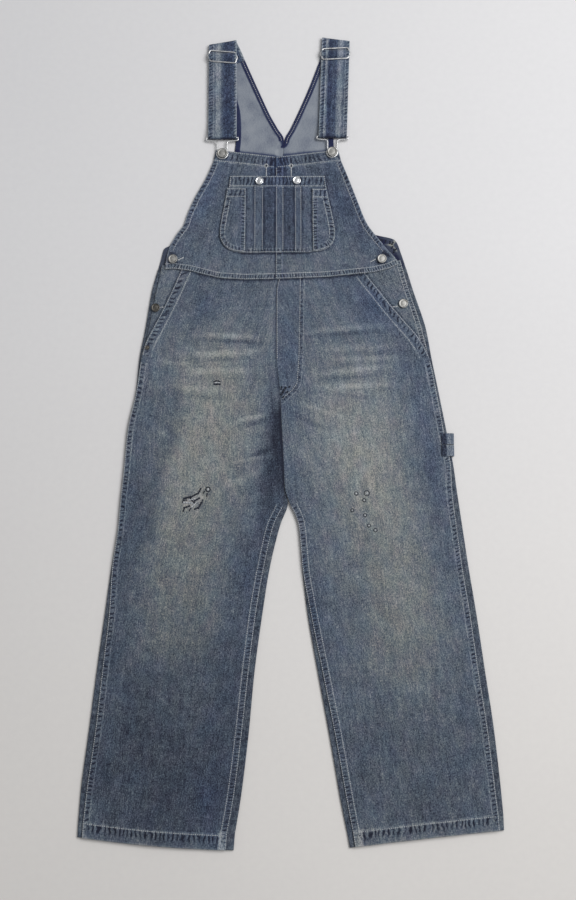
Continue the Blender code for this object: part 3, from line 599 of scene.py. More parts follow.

# Soft lines by panel: painted shade along lapped and raised edges, round buttons, in the
# fold between the legs and at the straps' lower ends, and elsewhere paler wear and darker
# lines: beside which line or which panel's edge, how far to the line's left, half the
# width, how much darker or paler, and where on it
Shade = namedtuple("Shade", "line off width fade begin end", defaults=(-ALL, ALL))
WORN_STRIP = ((-166.3, -223.4), (-165.3, -297.7), (-189, -338), (-204.5, -449))
SHADES = {
    # Left leg front: painted shade in the fold between the legs and under the bib's lower edge
    "leg_l": (
        (("leg_r", "left"), -1, 1.6, -0.6, -ALL, 240), (("leg_r", "left"), -1, 3, -1.5, 240, ALL),
        (("leg_r", "left"), -9, 5, 0.25, -ALL, 230), (("leg_r", "left"), -14, 4, -0.35, 170, 320),
        (("leg_r", "left"), -8, 6, -0.5, 250, ALL), (("leg_l", "left"), -19, 8, 0.30, 190, ALL),
        (("leg_l", "right"), 20, 9, 0.22, 415, ALL), (((-91, -958), (-92.5, -984)), 0, 6.5, 1.3),
        (((-98.5, -958), (-100, -984)), 0, 1.6, -0.9), (((-318, -941), (-319, -964)), 0, 4.5, 0.9),
        (("leg_l", "up"), 6, 7, 0.25), (((-164, -408), (-150, -408), (-132, -397)), 0, 8, 0.5),
        (WORN_STRIP, -17, 15, -0.30), (WORN_STRIP, 14, 14, 0.14),
        (("bib_l", "up"), -1.2, 2.4, -1),
    ),
    # Right leg front: painted shade in the fold between the legs and under the bib's lower edge
    "leg_r": (
        (("leg_r", "left"), -1.3, 1.7, 1, -ALL, 152), (("leg_r", "left"), -4, 4, -0.4, 300, 420),
        (("leg_r", "right"), 19, 8, 0.20, 204, ALL), (("leg_r", "left"), -20, 9, 0.30, 415, ALL),
        (((135.5, -955), (138.5, -981)), 0, 7, 1.1),
        (((143.5, -955), (146.5, -981)), 0, 1.6, -0.9), (("leg_r", "up"), 6, 7, 0.25),
        (J_STITCH, 2.4, 1.8, -0.5), (((199, 9), (213, 14)), 0, 2.6, -1.3),
        (("bib_r", "up"), -1.2, 2.4, -1),
    ),
    # Left bib half: painted shade beside the chest pocket's edges and the centre seam, and round the
    # waist button
    "bib_l": (
        (((-11.5, 225), (-11.5, 182)), 0, 2.6, -0.8), (((-4.5, 225), (-4.5, 182)), 0, 1.6, -0.8),
        (("pocket", "left"), 0, 2, -0.9), (("bib_r", "left"), -1, 1.8, -0.8),
        (("bib_l", "left"), 1.2, 1.8, 0.5, 120, ALL), (((-180, 37), (-190, 38)), 0, 3.5, -1),
        (((-176, 20), (-193, 19)), 0, 3, -0.9), (("pocket", "up"), -1, 2.2, -1.2),
    ),
    # Right bib half: painted shade beside the chest pocket's edges and round the waist button
    "bib_r": (
        (((5, 225), (5, 182)), 0, 2.4, -0.8), (((13, 225), (13, 182)), 0, 2.2, -0.7),
        (("pocket", "right"), 0, 2, -0.9), (("bib_r", "right"), -1.2, 1.8, 0.6, 120, ALL),
        (((188, 40), (197, 35)), 0, 4, -1.3), (((177, 21), (192, 19)), 0, 3.5, -1.1),
        (("pocket", "up"), -1, 2.2, -1.2),
    ),
    # Back bib halves: painted shade under the front bib's top edge, and on the right beside its armhole
    "back_r": (
        (((3, 232), (1, 225)), 0, 5, 0.5), (("bib_r", "down"), 1.5, 3, -0.7),
        (("bib_r", "right"), 2, 5, -0.8, 120, ALL), (((209.3, 62.9), (198.4, 49.7)), 0, 1.5, 1.3),
        (((205.6, 53.8), (211.8, 43.9)), 0, 1.5, 0.7),
    ),
    "back_l": (
        (((-2, 232), (-2, 225)), 0, 4, 0.5), (((6.5, 254.3), (10.6, 243.8)), 0, 4.2, -1),
        (("bib_l", "down"), 1.5, 3, -0.7),
    ),
    # Pocket facings: painted shade beside the leg fronts' slash edges
    "facing_l": ((("leg_l", "left"), -1, 2.4, -0.8),),
    "facing_r": ((("leg_r", "right"), 1, 2.4, -0.8),),
    # Chest pocket: painted shade beside the pencil pockets' edges, and darker strips beside its lines of
    # stitches
    "pocket": (
        (("pencil_l", "right"), 1, 1.8, -0.9), (("pencil_r", "left"), -1, 1.8, -0.9),
        (pocket_line(-40.6), -2.4, 1.8, -0.7), (pocket_line(-27.2), 2.6, 1.8, -1),
        (pocket_line(-27.2), 12, 8, -0.5), (pocket_line(-1.9), -2.4, 1.8, -1),
        (pocket_line(9.4), 2.4, 1.8, -0.6), (pocket_line(9.4), 11, 9, -0.4),
        (pocket_line(32), -2.4, 1.8, -0.8), (pocket_line(41.5), 2.4, 1.8, -0.9),
    ),
    # Straps: painted shadow along each strap's lower end at the buckle's bar
    "strap_l": ((((-126, 252.3), (-73, 252.3)), 0, 2, -1.2),),
    "strap_r": ((((72, 255), (125, 255)), 0, 2, -1.2),),
}

# Single strokes of thread by panel and thread: worn spots with their broken weft, the dark of
# their torn slits as painted shade, and the bars beside the buttons
Stroke = namedtuple("Stroke", "x y turn length width")
STROKES = {
    # Dark strokes in the left leg's worn spots stand for slits torn through the cloth: painted shade in
    # the slits
    ("leg_l", "dark"): (
        (-155, -398.5, 14, 14, 3.8), (-143.5, -394.5, 28, 14, 3.3), (-134, -387, 64, 12, 3.2),
        (-138, -401.5, 30, 12, 3.3), (-145, -405, -40, 8, 2.7), (-133, -412, 62, 14, 3.6),
        (-139, -417, 25, 9, 3), (-155.5, -414.5, 20, 13, 3.3), (-160.5, -419, 70, 9, 2.6),
        (-150, -419, 60, 7, 2.3), (-162.5, -404.5, 75, 7, 2.3), (-121, -393.5, 80, 7, 2.6),
        (-126.5, -389, 60, 6, 2.3), (-158, -403, 8, 7, 2.2), (-148.5, -399, 50, 6, 2),
        (-141, -407.5, -25, 7, 2.2), (-129, -405, 75, 8, 2.4), (-108.5, -193.6, 24, 7, 3),
        (-102, -193.8, -26, 6, 3), (-105.2, -198.8, 0, 13, 3.4),
    ),
    ("leg_l", "pale"): (
        (-154, -407.5, -3, 17, 3.4), (-143.5, -411, 40, 13, 3), (-147, -401.5, 12, 12, 2.4),
        (-105.2, -196.2, 0, 10, 2.8),
    ),
    ("leg_r", "dark"): (
        (8.5, -214.7, 60, 10, 4.6), (13, -207, 50, 9, 4), (7, -205.5, 80, 7, 3.2),
        (16.5, -213, 40, 6, 3), (10, -222, 45, 6, 3), (21, -203.5, 50, 5, 2.8),
    ),
    ("back_r", "dark"): (
        (183.4, 65.4, -60, 6, 2.4), (187.4, 64.1, -80, 5, 2), (192.6, 62.3, 70, 6, 2.4),
        (200.5, 60, 80, 6, 2.8), (205, 58.6, 60, 7, 3.2), (204, 51, 50, 6, 2.6),
        (207.6, 44.4, 75, 8, 3.4), (211, 47.4, 60, 5, 2.2),
    ),
    ("bib_l", "pale"): ((-172, 28, 28, 12, 2.4),),
    ("bib_r", "pale"): ((169.5, 25, 30, 12, 2.4),),
    ("facing_l", "pale"): ((-206, -60.5, 6, 10, 2.2),),
    ("facing_r", "pale"): ((207.5, -59, 10, 10, 2.2),),
}

# Small worn rings on the knees: place, radius, width of their thread, and the direction,
# length and width of the pale stroke in them
Ring = namedtuple("Ring", "panel x y radius width inner_x turn length inner_width")
RINGS = table(
    Ring,
    *(
        ("leg_r", x, y, radius, 1.3, x, 10, radius, 2.8)
        for x, y, radius in (
            (136.2, -391.3, 3), (154.5, -390.7, 4.4), (149.7, -402.8, 2.8), (129, -420.3, 2.6),
            (151, -429, 2.8), (157.4, -446.7, 2.8), (168.4, -454.6, 3),
        )
    ),
    ("leg_l", -119.3, -384, 3.8, 2, -119.6, 80, 4.6, 3.2),
)
BUTTONHOLES = ((-20.5, "bib_l"), (24.4, "bib_r"))
BUTTONHOLE_TOP = 203.0

# Half of a turned button's section: share of its radius, and height over its lift
BUTTON_PROFILE = (
    (0, 2.5), (0.3, 2.42), (0.5, 2.25), (0.62, 2.1), (0.7, 2.12), (0.78, 2.4), (0.84, 2.55),
    (0.91, 2.5), (0.97, 2.2), (1, 1.6), (0.98, 0.9), (0.85, 0.3), (0.45, 0),
)
BUTTON_SHANK = 0.45

# A quarter of a slider's wire
SLIDER_QUARTER = table(Bend, (0, 10.2), (12, 10.3), (21, 10.2), (23.6, 8.6), (24.6, 5), (26.8, 0))


def ease(value):
    value = np.clip(value, 0.0, 1.0)
    return value * value * (3.0 - 2.0 * value)


def smooth(rows, places):
    """Read a table between its rows, without overshooting them."""
    data = np.array(rows, float)
    steps = np.diff(data, axis=0)
    before, after = steps[:-1], steps[1:]
    slopes = np.zeros_like(data)
    same = before * after > 0.0
    slopes[1:-1][same] = 2.0 * (before * after)[same] / (before + after)[same]
    slopes[0], slopes[-1] = steps[0], steps[-1]
    index = np.minimum(places.astype(int), len(data) - 2)
    part = (places - index)[:, None]
    ends = (2 * part**3 - 3 * part**2 + 1) * data[index] + (3 * part**2 - 2 * part**3) * data[index + 1]
    return ends + (part**3 - 2 * part**2 + part) * slopes[index] + (part**3 - part**2) * slopes[index + 1]


def read(rows, values, key=0, column=1):
    """Read a table's column where another column has these values."""
    rows = sorted(rows, key=lambda row: row[key])
    return np.interp(values, [row[key] for row in rows], [row[column] for row in rows])


def waist_y(x):
    return read(WAIST, x)


def run_of(points):
    """How far along a line each of its points lies."""
    return np.concatenate([[0.0], np.cumsum(np.hypot(*np.diff(points, axis=0).T))])


def as_rows(values, count):
    """The same row of values, count times."""
    return np.repeat(values[None, :], count, axis=0)


def as_columns(values, count):
    return np.repeat(values[:, None], count, axis=1)


def fine_places(sections, step):
    """Places in a table of sections, so close that rows lie a step apart."""
    places = [0.0]
    for index, (a, b) in enumerate(zip(sections, sections[1:])):
        longest = max(math.hypot(b[0] - a[0], b[1] - a[1]), math.hypot(b[-2] - a[-2], b[-1] - a[-1]))
        count = max(1, math.ceil(longest / step))
        places += [index + part / count for part in range(1, count + 1)]
    return np.array(places)


def fine_stops(width, zone, fine, coarse):
    """Columns as shares and distances: close together near both edges."""
    near = np.arange(0.0, zone, fine)
    count = max(2, math.ceil((width - 2 * zone) / coarse))
    inner = np.linspace(0.0, 1.0, count + 1)
    shares = np.concatenate([0.0 * near, inner, 0.0 * near + 1.0])
    distances = np.concatenate([near, zone * (1.0 - 2.0 * inner), -near[::-1]])
    return shares, distances


def run_along(x, y):
    """Distance from the first row along each column."""
    steps = np.hypot(np.diff(x, axis=0), np.diff(y, axis=0))
    return np.vstack([np.zeros(x.shape[1]), np.cumsum(steps, axis=0)])


def beside_line(x, y, line):
    """Distance from a line of points, and how far along it, for a whole grid.

    The distance is above zero on the line's left.
    """
    line = np.asarray(line, float)
    steps = np.diff(line, axis=0)
    lengths = np.maximum(np.hypot(steps[:, 0], steps[:, 1]), 1e-9)
    runs = np.concatenate([[0.0], np.cumsum(lengths)])
    distance, run = np.empty_like(x), np.empty_like(x)
    for row in range(x.shape[0]):
        dx = x[row][:, None] - line[None, :-1, 0]
        dy = y[row][:, None] - line[None, :-1, 1]
        along = np.clip((dx * steps[:, 0] + dy * steps[:, 1]) / lengths**2, 0.0, 1.0)
        away = np.hypot(dx - along * steps[:, 0], dy - along * steps[:, 1])
        best = away.argmin(axis=1)
        pick = np.arange(len(best))
        side = steps[best, 0] * dy[pick, best] - steps[best, 1] * dx[pick, best]
        distance[row] = np.where(side < 0.0, -1.0, 1.0) * away[pick, best]
        run[row] = runs[best] + along[pick, best] * lengths[best]
    return distance, run


class Grid:
    """A cloth piece's points in rows and columns, and the values that its look reads."""

    def __init__(self, x, y, left, right):
        self.x, self.y, self.left, self.right = x, y, left, right
        self.down = run_along(x, y)
        self.up = self.down[-1] - self.down
        self.z = np.zeros_like(x)
        # fading and painted shade: below zero darker, above zero paler
        self.fade = np.zeros_like(x)
        self.warm = np.zeros_like(x)
        self.rope = np.zeros_like(x)
        self.band_share = np.full_like(x, 3.0)
        self.band_cycle = np.zeros_like(x)
        self.band_marks = np.zeros_like(x)
        self.seed = 0.0
        self.keep = None               # faces that are built, if not all
        self.folded = False
        self.shown = slice(None)       # rows that show, and carry the stitches

    def points(self):
        return np.stack([self.x, self.y, self.z], axis=-1)

    def edge(self, name):
        """The points of one edge, from the top down or from left to right."""
        shown = self.shown
        pick = {"left": (shown, 0), "right": (shown, -1), "down": (0,), "up": (-1,)}[name]
        return np.stack([self.x[pick], self.y[pick]], axis=-1)

    def beside(self, edge):
        """Distance in from an edge, or from a line of points, and how far along it."""
        if self.folded:
            return (self.left if edge == "left" else self.right), self.down
        if isinstance(edge, str):
            distance, run = beside_line(self.x, self.y, self.edge(edge))
            return np.abs(distance), run
        return beside_line(self.x, self.y, resample(edge, 3.0))


def flat_grid(sections, stops, step, top_edge=None, bottom_edge=None):
    """A flat piece between its side edges, bent at its ends to functions of x."""
    places = fine_places(sections, step)
    left_x, left_y, right_x, right_y = smooth(sections, places).T
    width = np.hypot(right_x - left_x, right_y - left_y)
    shares, distances = stops
    part = shares[None, :] + distances[None, :] / width[:, None]
    x = left_x[:, None] + part * (right_x - left_x)[:, None]
    y = left_y[:, None] + part * (right_y - left_y)[:, None]
    bend(x, y, places, places[0], top_edge)
    bend(x, y, places, places[-1], bottom_edge)
    return Grid(x, y, part * width[:, None], (1.0 - part) * width[:, None])


def bend(x, y, places, end, edge):
    """Bend the rows near one end to a function of x."""
    if edge is None:
        return
    row = 0 if end == places[0] else -1
    shift = edge(x[row]) - y[row]
    y += (np.clip(1.0 - np.abs(places - end) / 4.0, 0.0, 1.0) ** 2)[:, None] * shift[None, :]


def waves(x, y, seed, longest, count=7):
    """A smooth uneven surface from -1 to 1, with swells up to a wavelength."""
    rng = np.random.default_rng(seed)
    total = np.zeros_like(x)
    for _ in range(count):
        turn = rng.uniform(0.0, math.pi)
        length = longest * rng.uniform(0.35, 1.0)
        phase = rng.uniform(0.0, 2 * math.pi)
        total += np.sin(2 * math.pi * (x * math.cos(turn) + y * math.sin(turn)) / length + phase)
    return total / count**0.5 / 1.5


def oval(x, y, row):
    """How much of a soft oval is at each point."""
    turn = math.radians(row.turn)
    dx, dy = x - row.x, y - row.y
    along = (dx * math.cos(turn) + dy * math.sin(turn)) / (row.length / 2)
    aside = (dy * math.cos(turn) - dx * math.sin(turn)) / (row.width / 2)
    return along, aside


def add_wash_and_shade(grid, washes_and_shades):
    for row in washes_and_shades:
        along, aside = oval(grid.x, grid.y, row)
        here = np.exp(-1.6 * (along**2 + aside**2))
        grid.fade += row.fade * here
        grid.warm += row.warm * here


def crease_height(creases, x, y, exponent=2.0):
    total = np.zeros_like(x)
    for row in creases:
        along, aside = oval(x, y, row)
        here = np.clip(1 - along**2, 0, 1) ** exponent * np.clip(1 - aside**2, 0, 1) ** exponent
        total += row.height * here
    return total


def resample(points, step):
    """A line's points at equal steps."""
    points = np.asarray(points, float)
    runs = run_of(points)
    at = np.linspace(0.0, runs[-1], max(2, math.ceil(runs[-1] / step) + 1))
    return np.stack([np.interp(at, runs, points[:, 0]), np.interp(at, runs, points[:, 1])], axis=-1)


def add_bands(grid, bands, seed):
    for index, band in enumerate(bands):
        add_band(grid, band, seed + index)


def add_band(grid, band, seed):
    """Raise a seam or hem and rope it between its stitches."""
    distance, run = grid.beside(band.edge)
    rng = np.random.default_rng(seed)
    wobble = np.zeros_like(run)
    for length, much in ((31.0, 0.10), (73.0, 0.22), (170.0, 0.3)):
        turn = 2 * math.pi * run / (length * rng.uniform(0.8, 1.2))
        wobble += much * np.sin(turn + rng.uniform(0, 2 * math.pi))
    cycle = (run + band.slant * distance) / band.pitch + wobble
    share = distance / band.width
    inside = (share > -0.02) & (distance < band.width + 4.0) & (run > band.begin) & (run < band.end)
    inside &= (share < grid.band_share) | (grid.band_share > 1.3)
    held = np.clip(1.0 - np.abs((share - band.centre) / band.reach) ** 2.5, 0.0, 1.0) * inside
    grid.z += band.depth * np.sin(2 * math.pi * cycle) * held
    raised = ease(distance / 1.4 + 0.35) * (1.0 - ease((distance - band.width + 0.5) / 1.6))
    grid.z += band.lift * raised * inside
    grid.band_share = np.where(inside, share, grid.band_share)
    grid.band_cycle = np.where(inside, cycle + 40.0 * (seed % 7), grid.band_cycle)
    grid.band_marks = np.where(inside, band.marks * held, grid.band_marks)


def edge_line(grid, edge, distance, begin, end):
    """Points of a line at a distance in from one edge of a grid."""
    step = 2.0
    points = resample(grid.edge(edge), step)
    ahead = np.gradient(points, axis=0)
    ahead /= np.maximum(np.hypot(ahead[:, 0], ahead[:, 1]), 1e-9)[:, None]
    moved = points + INWARD[edge] * distance * np.stack([-ahead[:, 1], ahead[:, 0]], axis=-1)
    run = np.arange(len(points)) * step
    return moved[(run >= begin) & (run <= end)].tolist()


def surface(grid):
    """The grid's upper side, for laying thread on it."""
    points = grid.points().reshape(-1, 3)
    return BVHTree.FromPolygons([Vector(point) for point in points], quads(grid.x.shape).tolist())


def quads(shape, keep=None):
    """Corners of the faces between a grid's points."""
    index = np.arange(shape[0] * shape[1]).reshape(shape)
    faces = np.stack((index[:-1, :-1], index[1:, :-1], index[1:, 1:], index[:-1, 1:]), axis=-1)
    return faces.reshape(-1, 4) if keep is None else faces[keep[:-1, :-1]]


def new_mesh(name, points, faces):
    """A mesh object from points in millimetres of the tables."""
    mesh = bpy.data.meshes.new(name)
    placed = (np.asarray(points, float) + (ORIGIN_X, ORIGIN_Y, 0.0)) * MM
    mesh.from_pydata(placed.tolist(), [], [list(face) for face in faces])
    mesh.shade_smooth()
    piece = bpy.data.objects.new(name, mesh)
    bpy.context.scene.collection.objects.link(piece)
    return piece


def store(mesh, name, values):
    layer = mesh.attributes.new(name, "FLOAT_VECTOR", "POINT")
    layer.data.foreach_set("vector", np.asarray(values, np.float32).reshape(-1))


def cloth(panel, grid):
    """A grid made solid, with its cloth coordinates and its wash and painted shade stored for the look.
    """
    piece = new_mesh(panel.name, grid.points().reshape(-1, 3), quads(grid.x.shape, grid.keep))
    middle = grid.left - 0.5 * (grid.left + grid.right)
    seed = np.full_like(middle, grid.seed * 1000.0)
    store(piece.data, "cloth", np.stack([middle, grid.down, seed], axis=-1))
    store(piece.data, "wash", np.stack([grid.fade, grid.rope, grid.warm], axis=-1))
    store(piece.data, "seam", np.stack([grid.band_share, grid.band_cycle, grid.band_marks], axis=-1))
    if grid.keep is not None:
        drop_loose(piece.data)
    for look in panel.looks:
        piece.data.materials.append(look)
    solid = piece.modifiers.new("thickness", "SOLIDIFY")
    solid.thickness = panel.thickness * MM
    solid.offset = panel.offset
    solid.material_offset = 1
    solid.material_offset_rim = 0
    return piece


def drop_loose(mesh):
    shape = bmesh.new()
    shape.from_mesh(mesh)
    loose = [vert for vert in shape.verts if not vert.link_faces]
    bmesh.ops.delete(shape, geom=loose, context="VERTS")
    shape.to_mesh(mesh)
    shape.free()


# A stitch: a grain of thread along +X, with its ends in the cloth
STITCH_RING = ((0, 1), (1, 0), (0, -1), (-1, 0))
STITCH_POINTS = np.array(
    [(-1.0, 0.0, -0.7)]
    + [(-0.55, v, w) for v, w in STITCH_RING]
    + [(0.55, v, w) for v, w in STITCH_RING]
    + [(1.0, 0.0, -0.7)]
)
STITCH_FACES = (
    [(0, 1 + k, 1 + (k + 1) % 4) for k in range(4)]
    + [(1 + (k + 1) % 4, 1 + k, 5 + k, 5 + (k + 1) % 4) for k in range(4)]
    + [(9, 5 + (k + 1) % 4, 5 + k) for k in range(4)]
)


class Thread:
    """Collects the stitches of one thread on one piece and makes them a mesh."""

    def __init__(self, name, grid, look):
        self.name, self.look = name, look
        self.under = surface(grid)
        self.points, self.faces = [], []

    def height(self, x, y):
        hit = self.under.ray_cast(Vector((x, y, 60.0)), Vector((0.0, 0.0, -1.0)))
        return hit[0].z if hit[0] is not None else None

    def stitch(self, x, y, turn, length, width=STITCH_WIDTH):
        """One stitch, tilted to lie on the cloth."""
        ux, uy = math.cos(turn), math.sin(turn)
        z = self.height(x, y)
        z_end = self.height(x + ux * length / 2, y + uy * length / 2)
        if z is None:
            return
        slope = 0.0 if z_end is None else (z_end - z) / (length / 2)
        slope = max(-0.6, min(0.6, slope))
        along = np.array((ux, uy, slope))
        aside = np.array((-uy, ux, 0.0))
        thick = width / 2
        base = len(self.points)
        for u, v, w in STITCH_POINTS:
            point = np.array((x, y, z + 0.12)) + along * (u * length / 2) + aside * (v * thick)
            self.points.append(point + np.array((0.0, 0.0, w * thick * 0.7)))
        self.faces += [[base + corner for corner in face] for face in STITCH_FACES]

    def line(self, points):
        """A row of stitches along a line."""
        path = np.array(points, float)
        run = run_of(path)
        for index in range(int(run[-1] / STITCH_PITCH)):
            at = (index + 0.5) * STITCH_PITCH
            x, y = np.interp(at, run, path[:, 0]), np.interp(at, run, path[:, 1])
            ahead = min(at + 0.8, run[-1])
            turn = math.atan2(
                np.interp(ahead, run, path[:, 1]) - y, np.interp(ahead, run, path[:, 0]) - x
            )
            self.stitch(x, y, turn, STITCH_LENGTH)

    def stroke(self, x, y, turn, length, width):
        """A thick stroke of thread, in short lengths that follow the cloth."""
        turn = math.radians(turn)
        count = max(1, round(length / 4.0))
        for index in range(count):
            at = (index + 0.5) / count * length - length / 2
            part = 1.25 * length / count
            self.stitch(x + at * math.cos(turn), y + at * math.sin(turn), turn, part, width)

    def ring(self, x, y, radius, width):
        """A ring of short stitches."""
        for index in range(8):
            turn = 2 * math.pi * index / 8
            place_x, place_y = x + radius * math.cos(turn), y + radius * math.sin(turn)
            self.stitch(place_x, place_y, turn + math.pi / 2, 1.1 * radius, width)

    def make(self):
        piece = new_mesh(self.name, self.points, self.faces)
        piece.data.materials.append(self.look)
        return piece


class Look:
    """A material made of nodes on a Principled shader."""

    def __init__(self, name):
        self.material = bpy.data.materials.new(name)
        self.material.use_nodes = True
        self.tree = self.material.node_tree
        self.shader = self.tree.nodes["Principled BSDF"]

    def node(self, kind, inputs=(), **settings):
        """A new node with its settings, and its inputs set or linked."""
        made = self.tree.nodes.new(kind)
        for key, value in settings.items():
            setattr(made, key, value)
        for key, value in dict(inputs).items():
            self.plug(made.inputs[key], value)
        return made

    def plug(self, socket, value):
        if isinstance(value, bpy.types.NodeSocket):
            self.tree.links.new(value, socket)
        else:
            socket.default_value = value

    def math(self, operation, a, b=0.0, c=0.0, clamp=False):
        inputs = {0: a, 1: b, 2: c}
        return self.node("ShaderNodeMath", inputs, operation=operation, use_clamp=clamp).outputs[0]

    def times(self, a, b, clamp=False):
        return self.math("MULTIPLY", a, b, clamp=clamp)

    def values(self, name):
        """A vector that the cloth's points carry."""
        return self.node("ShaderNodeAttribute", attribute_name=name).outputs["Vector"]

    def split(self, vector):
        return self.node("ShaderNodeSeparateXYZ", {"Vector": vector}).outputs

    def between(self, value, low, high):
        """Smooth step from 0 at low to 1 at high; low may be the larger."""
        inputs = {"Value": value, "From Min": low, "From Max": high}
        return self.node("ShaderNodeMapRange", inputs, interpolation_type="SMOOTHSTEP").outputs["Result"]

    def scaled(self, vector, scale):
        return self.node("ShaderNodeVectorMath", {0: vector, 1: scale}, operation="MULTIPLY").outputs[0]

    def noise(self, vector, scale, detail=2.0):
        """Noise about zero; scale counts the grains in a millimetre in each direction."""
        inputs = {"Vector": self.scaled(vector, (*scale, 1.0)[:3]), "Scale": 1.0, "Detail": detail}
        made = self.node("ShaderNodeTexNoise", inputs)
        return self.math("SUBTRACT", made.outputs["Fac"], 0.5)

    def sum(self, start, terms):
        """start plus each socket times its weight."""
        for socket, weight in terms:
            start = self.math("MULTIPLY_ADD", socket, weight, start)
        return start

    def ramp(self, value, stops):
        made = self.node("ShaderNodeValToRGB", {"Fac": value})
        elements = made.color_ramp.elements
        while len(elements) < len(stops):
            elements.new(0.5)
        for element, (place, colour) in zip(elements, stops):
            element.position = place
            element.color = (*colour, 1.0)
        return made.outputs["Color"]

    def tint(self, factor, colour, by):
        """A colour multiplied by another, as far as the factor says."""
        inputs = {0: factor, 6: colour, 7: (*by, 1.0)}
        return self.node("ShaderNodeMix", inputs, data_type="RGBA", blend_type="MULTIPLY").outputs[2]

    def bump(self, height, strength, distance):
        made = self.node("ShaderNodeBump", {"Height": height, "Strength": strength, "Distance": distance})
        self.plug(self.shader.inputs["Normal"], made.outputs["Normal"])

    def set(self, **values):
        for key, value in values.items():
            self.plug(self.shader.inputs[key.replace("_", " ")], value)


# Washed denim from its darkest indigo to its palest wear
DENIM_RAMP = (
    (0.0, (0.008, 0.011, 0.026)),
    (0.25, (0.036, 0.048, 0.075)),
    (0.5, (0.092, 0.118, 0.158)),
    (0.75, (0.196, 0.222, 0.244)),
    (1.0, (0.360, 0.382, 0.394)),
)


def seam_marks(look, place):
    """Dark marks and worn ridges between a seam's stitches: their tone and height."""
    share, cycle, marks = look.split(look.values("seam"))
    wobble = look.noise(place, (0.075, 0.075), 1.0)
    patchy = look.noise(place, (0.13, 0.17), 2.0)
    wobbled = look.sum(cycle, ((wobble, 1.3),))
    number = look.math("FLOOR", look.math("ADD", wobbled, 0.25))
    chance = look.node("ShaderNodeTexWhiteNoise", {"W": number}, noise_dimensions="1D").outputs["Value"]
    wave = look.math("SINE", look.times(wobbled, 2 * math.pi))
    strength = look.times(marks, look.math("MULTIPLY_ADD", patchy, 2.2, 0.9, clamp=True))
    sunk = look.between(wave, 0.2, 0.85)
    much = look.math("MULTIPLY_ADD", chance, 0.6, 0.4)
    dark = look.times(look.times(sunk, strength), much)
    raised = look.between(look.times(wave, -1.0), 0.0, 0.9)
    light = look.times(raised, strength)
    at_edge = look.between(share, 0.16, 0.03)
    at_stitches = look.between(look.math("ABSOLUTE", look.math("SUBTRACT", share, 1.0)), 0.16, 0.04)
    wear = look.math("MULTIPLY_ADD", patchy, 1.6, 0.75, clamp=True)
    worn = look.times(look.math("ADD", at_edge, at_stitches), wear)
    return dark, light, worn


def denim_look(name):
    """Face side of the twill: streaks of worn warp, mottling, wear on ridges."""
    look = Look(name)
    place = look.values("cloth")
    fade, rope, warm = look.split(look.values("wash"))
    streaks = look.noise(place, (0.62, 0.17))
    strands = look.noise(place, (0.30, 0.045), 1.0)
    grain = look.noise(place, (0.56, 0.40), 1.0)
    fine = look.noise(place, (1.3, 0.9), 1.0)
    slubs = look.noise(place, (0.22, 0.014))
    mottle = look.noise(place, (0.060, 0.030), 3.0)
    clouds = look.noise(place, (0.012, 0.009))
    dark, light, worn = seam_marks(look, place)
    # The stored wash's first value brings the panel's fading and its painted shade into the tone
    tone = look.sum(0.47, (
        (fade, 0.34), (streaks, 0.76), (strands, 0.34), (grain, 0.92), (fine, 0.55), (slubs, 0.24),
        (mottle, 0.30), (clouds, 0.22), (rope, 0.20), (dark, -0.54), (light, 0.12), (worn, 0.28),
    ))
    colour = look.ramp(tone, DENIM_RAMP)
    faded = look.tint(look.math("MAXIMUM", warm, 0.0, clamp=True), colour, (1.07, 0.995, 0.86))
    tinted = look.tint(look.times(warm, -1.0, clamp=True), faded, (0.84, 0.95, 1.22))
    blues = look.math("MULTIPLY_ADD", look.noise(place, (0.035, 0.022), 3.0), 2.4, 0.3, clamp=True)
    violets = look.math("MULTIPLY_ADD", look.noise(place, (0.05, 0.028), 3.0), 2.4, 0.2, clamp=True)
    hue = look.tint(violets, look.tint(blues, tinted, (0.88, 1.0, 1.10)), (1.08, 0.96, 1.04))
    look.set(
        Base_Color=hue, Roughness=0.88, Specular_IOR_Level=0.25, Sheen_Weight=0.12, Sheen_Roughness=0.6
    )
    across, along, _ = look.split(place)
    twill = look.math("SINE", look.times(look.math("MULTIPLY_ADD", along, 0.8, across), 5.6))
    height = look.sum(0.0, (
        (streaks, 1.0), (grain, 1.4), (twill, 0.10), (dark, -1.6), (light, 0.7), (worn, 0.4),
    ))
    look.bump(height, 0.55, 0.0007)
    return look.material


def inside_look(name):
    """Wrong side of the twill, where the pale weft shows."""
    look = Look(name)
    place = look.values("cloth")
    fade, rope, warm = look.split(look.values("wash"))
    streaks = look.noise(place, (0.8, 0.12))
    grain = look.noise(place, (0.6, 0.5))
    mottle = look.noise(place, (0.03, 0.02), 3.0)
    # The stored wash's first value brings the panel's fading and its painted shade into the tone
    tone = look.sum(0.5, ((fade, 0.5), (rope, 0.2), (streaks, 0.22), (grain, 0.25), (mottle, 0.3)))
    colour = look.ramp(tone, (
        (0.0, (0.014, 0.018, 0.062)), (0.25, (0.060, 0.078, 0.135)),
        (0.5, (0.225, 0.248, 0.290)), (1.0, (0.46, 0.48, 0.50)),
    ))
    colour = look.tint(look.math("MAXIMUM", warm, 0.0, clamp=True), colour, (1.10, 1.02, 0.80))
    look.set(Base_Color=colour, Roughness=0.9, Sheen_Weight=0.1, Specular_IOR_Level=0.2)
    look.bump(look.sum(0.0, ((streaks, 1.0), (grain, 1.0))), 0.4, 0.0005)
    return look.material


def thread_look(name, pale, dark):
    """Thread, worn unevenly along its line."""
    look = Look(name)
    place = look.node("ShaderNodeTexCoord").outputs["Object"]
    wear = look.noise(place, (160.0, 160.0, 160.0), 3.0)
    colour = look.ramp(look.sum(0.5, ((wear, 1.6),)), ((0.2, dark), (0.8, pale)))
    look.set(Base_Color=colour, Roughness=0.75, Specular_IOR_Level=0.3)
    return look.material


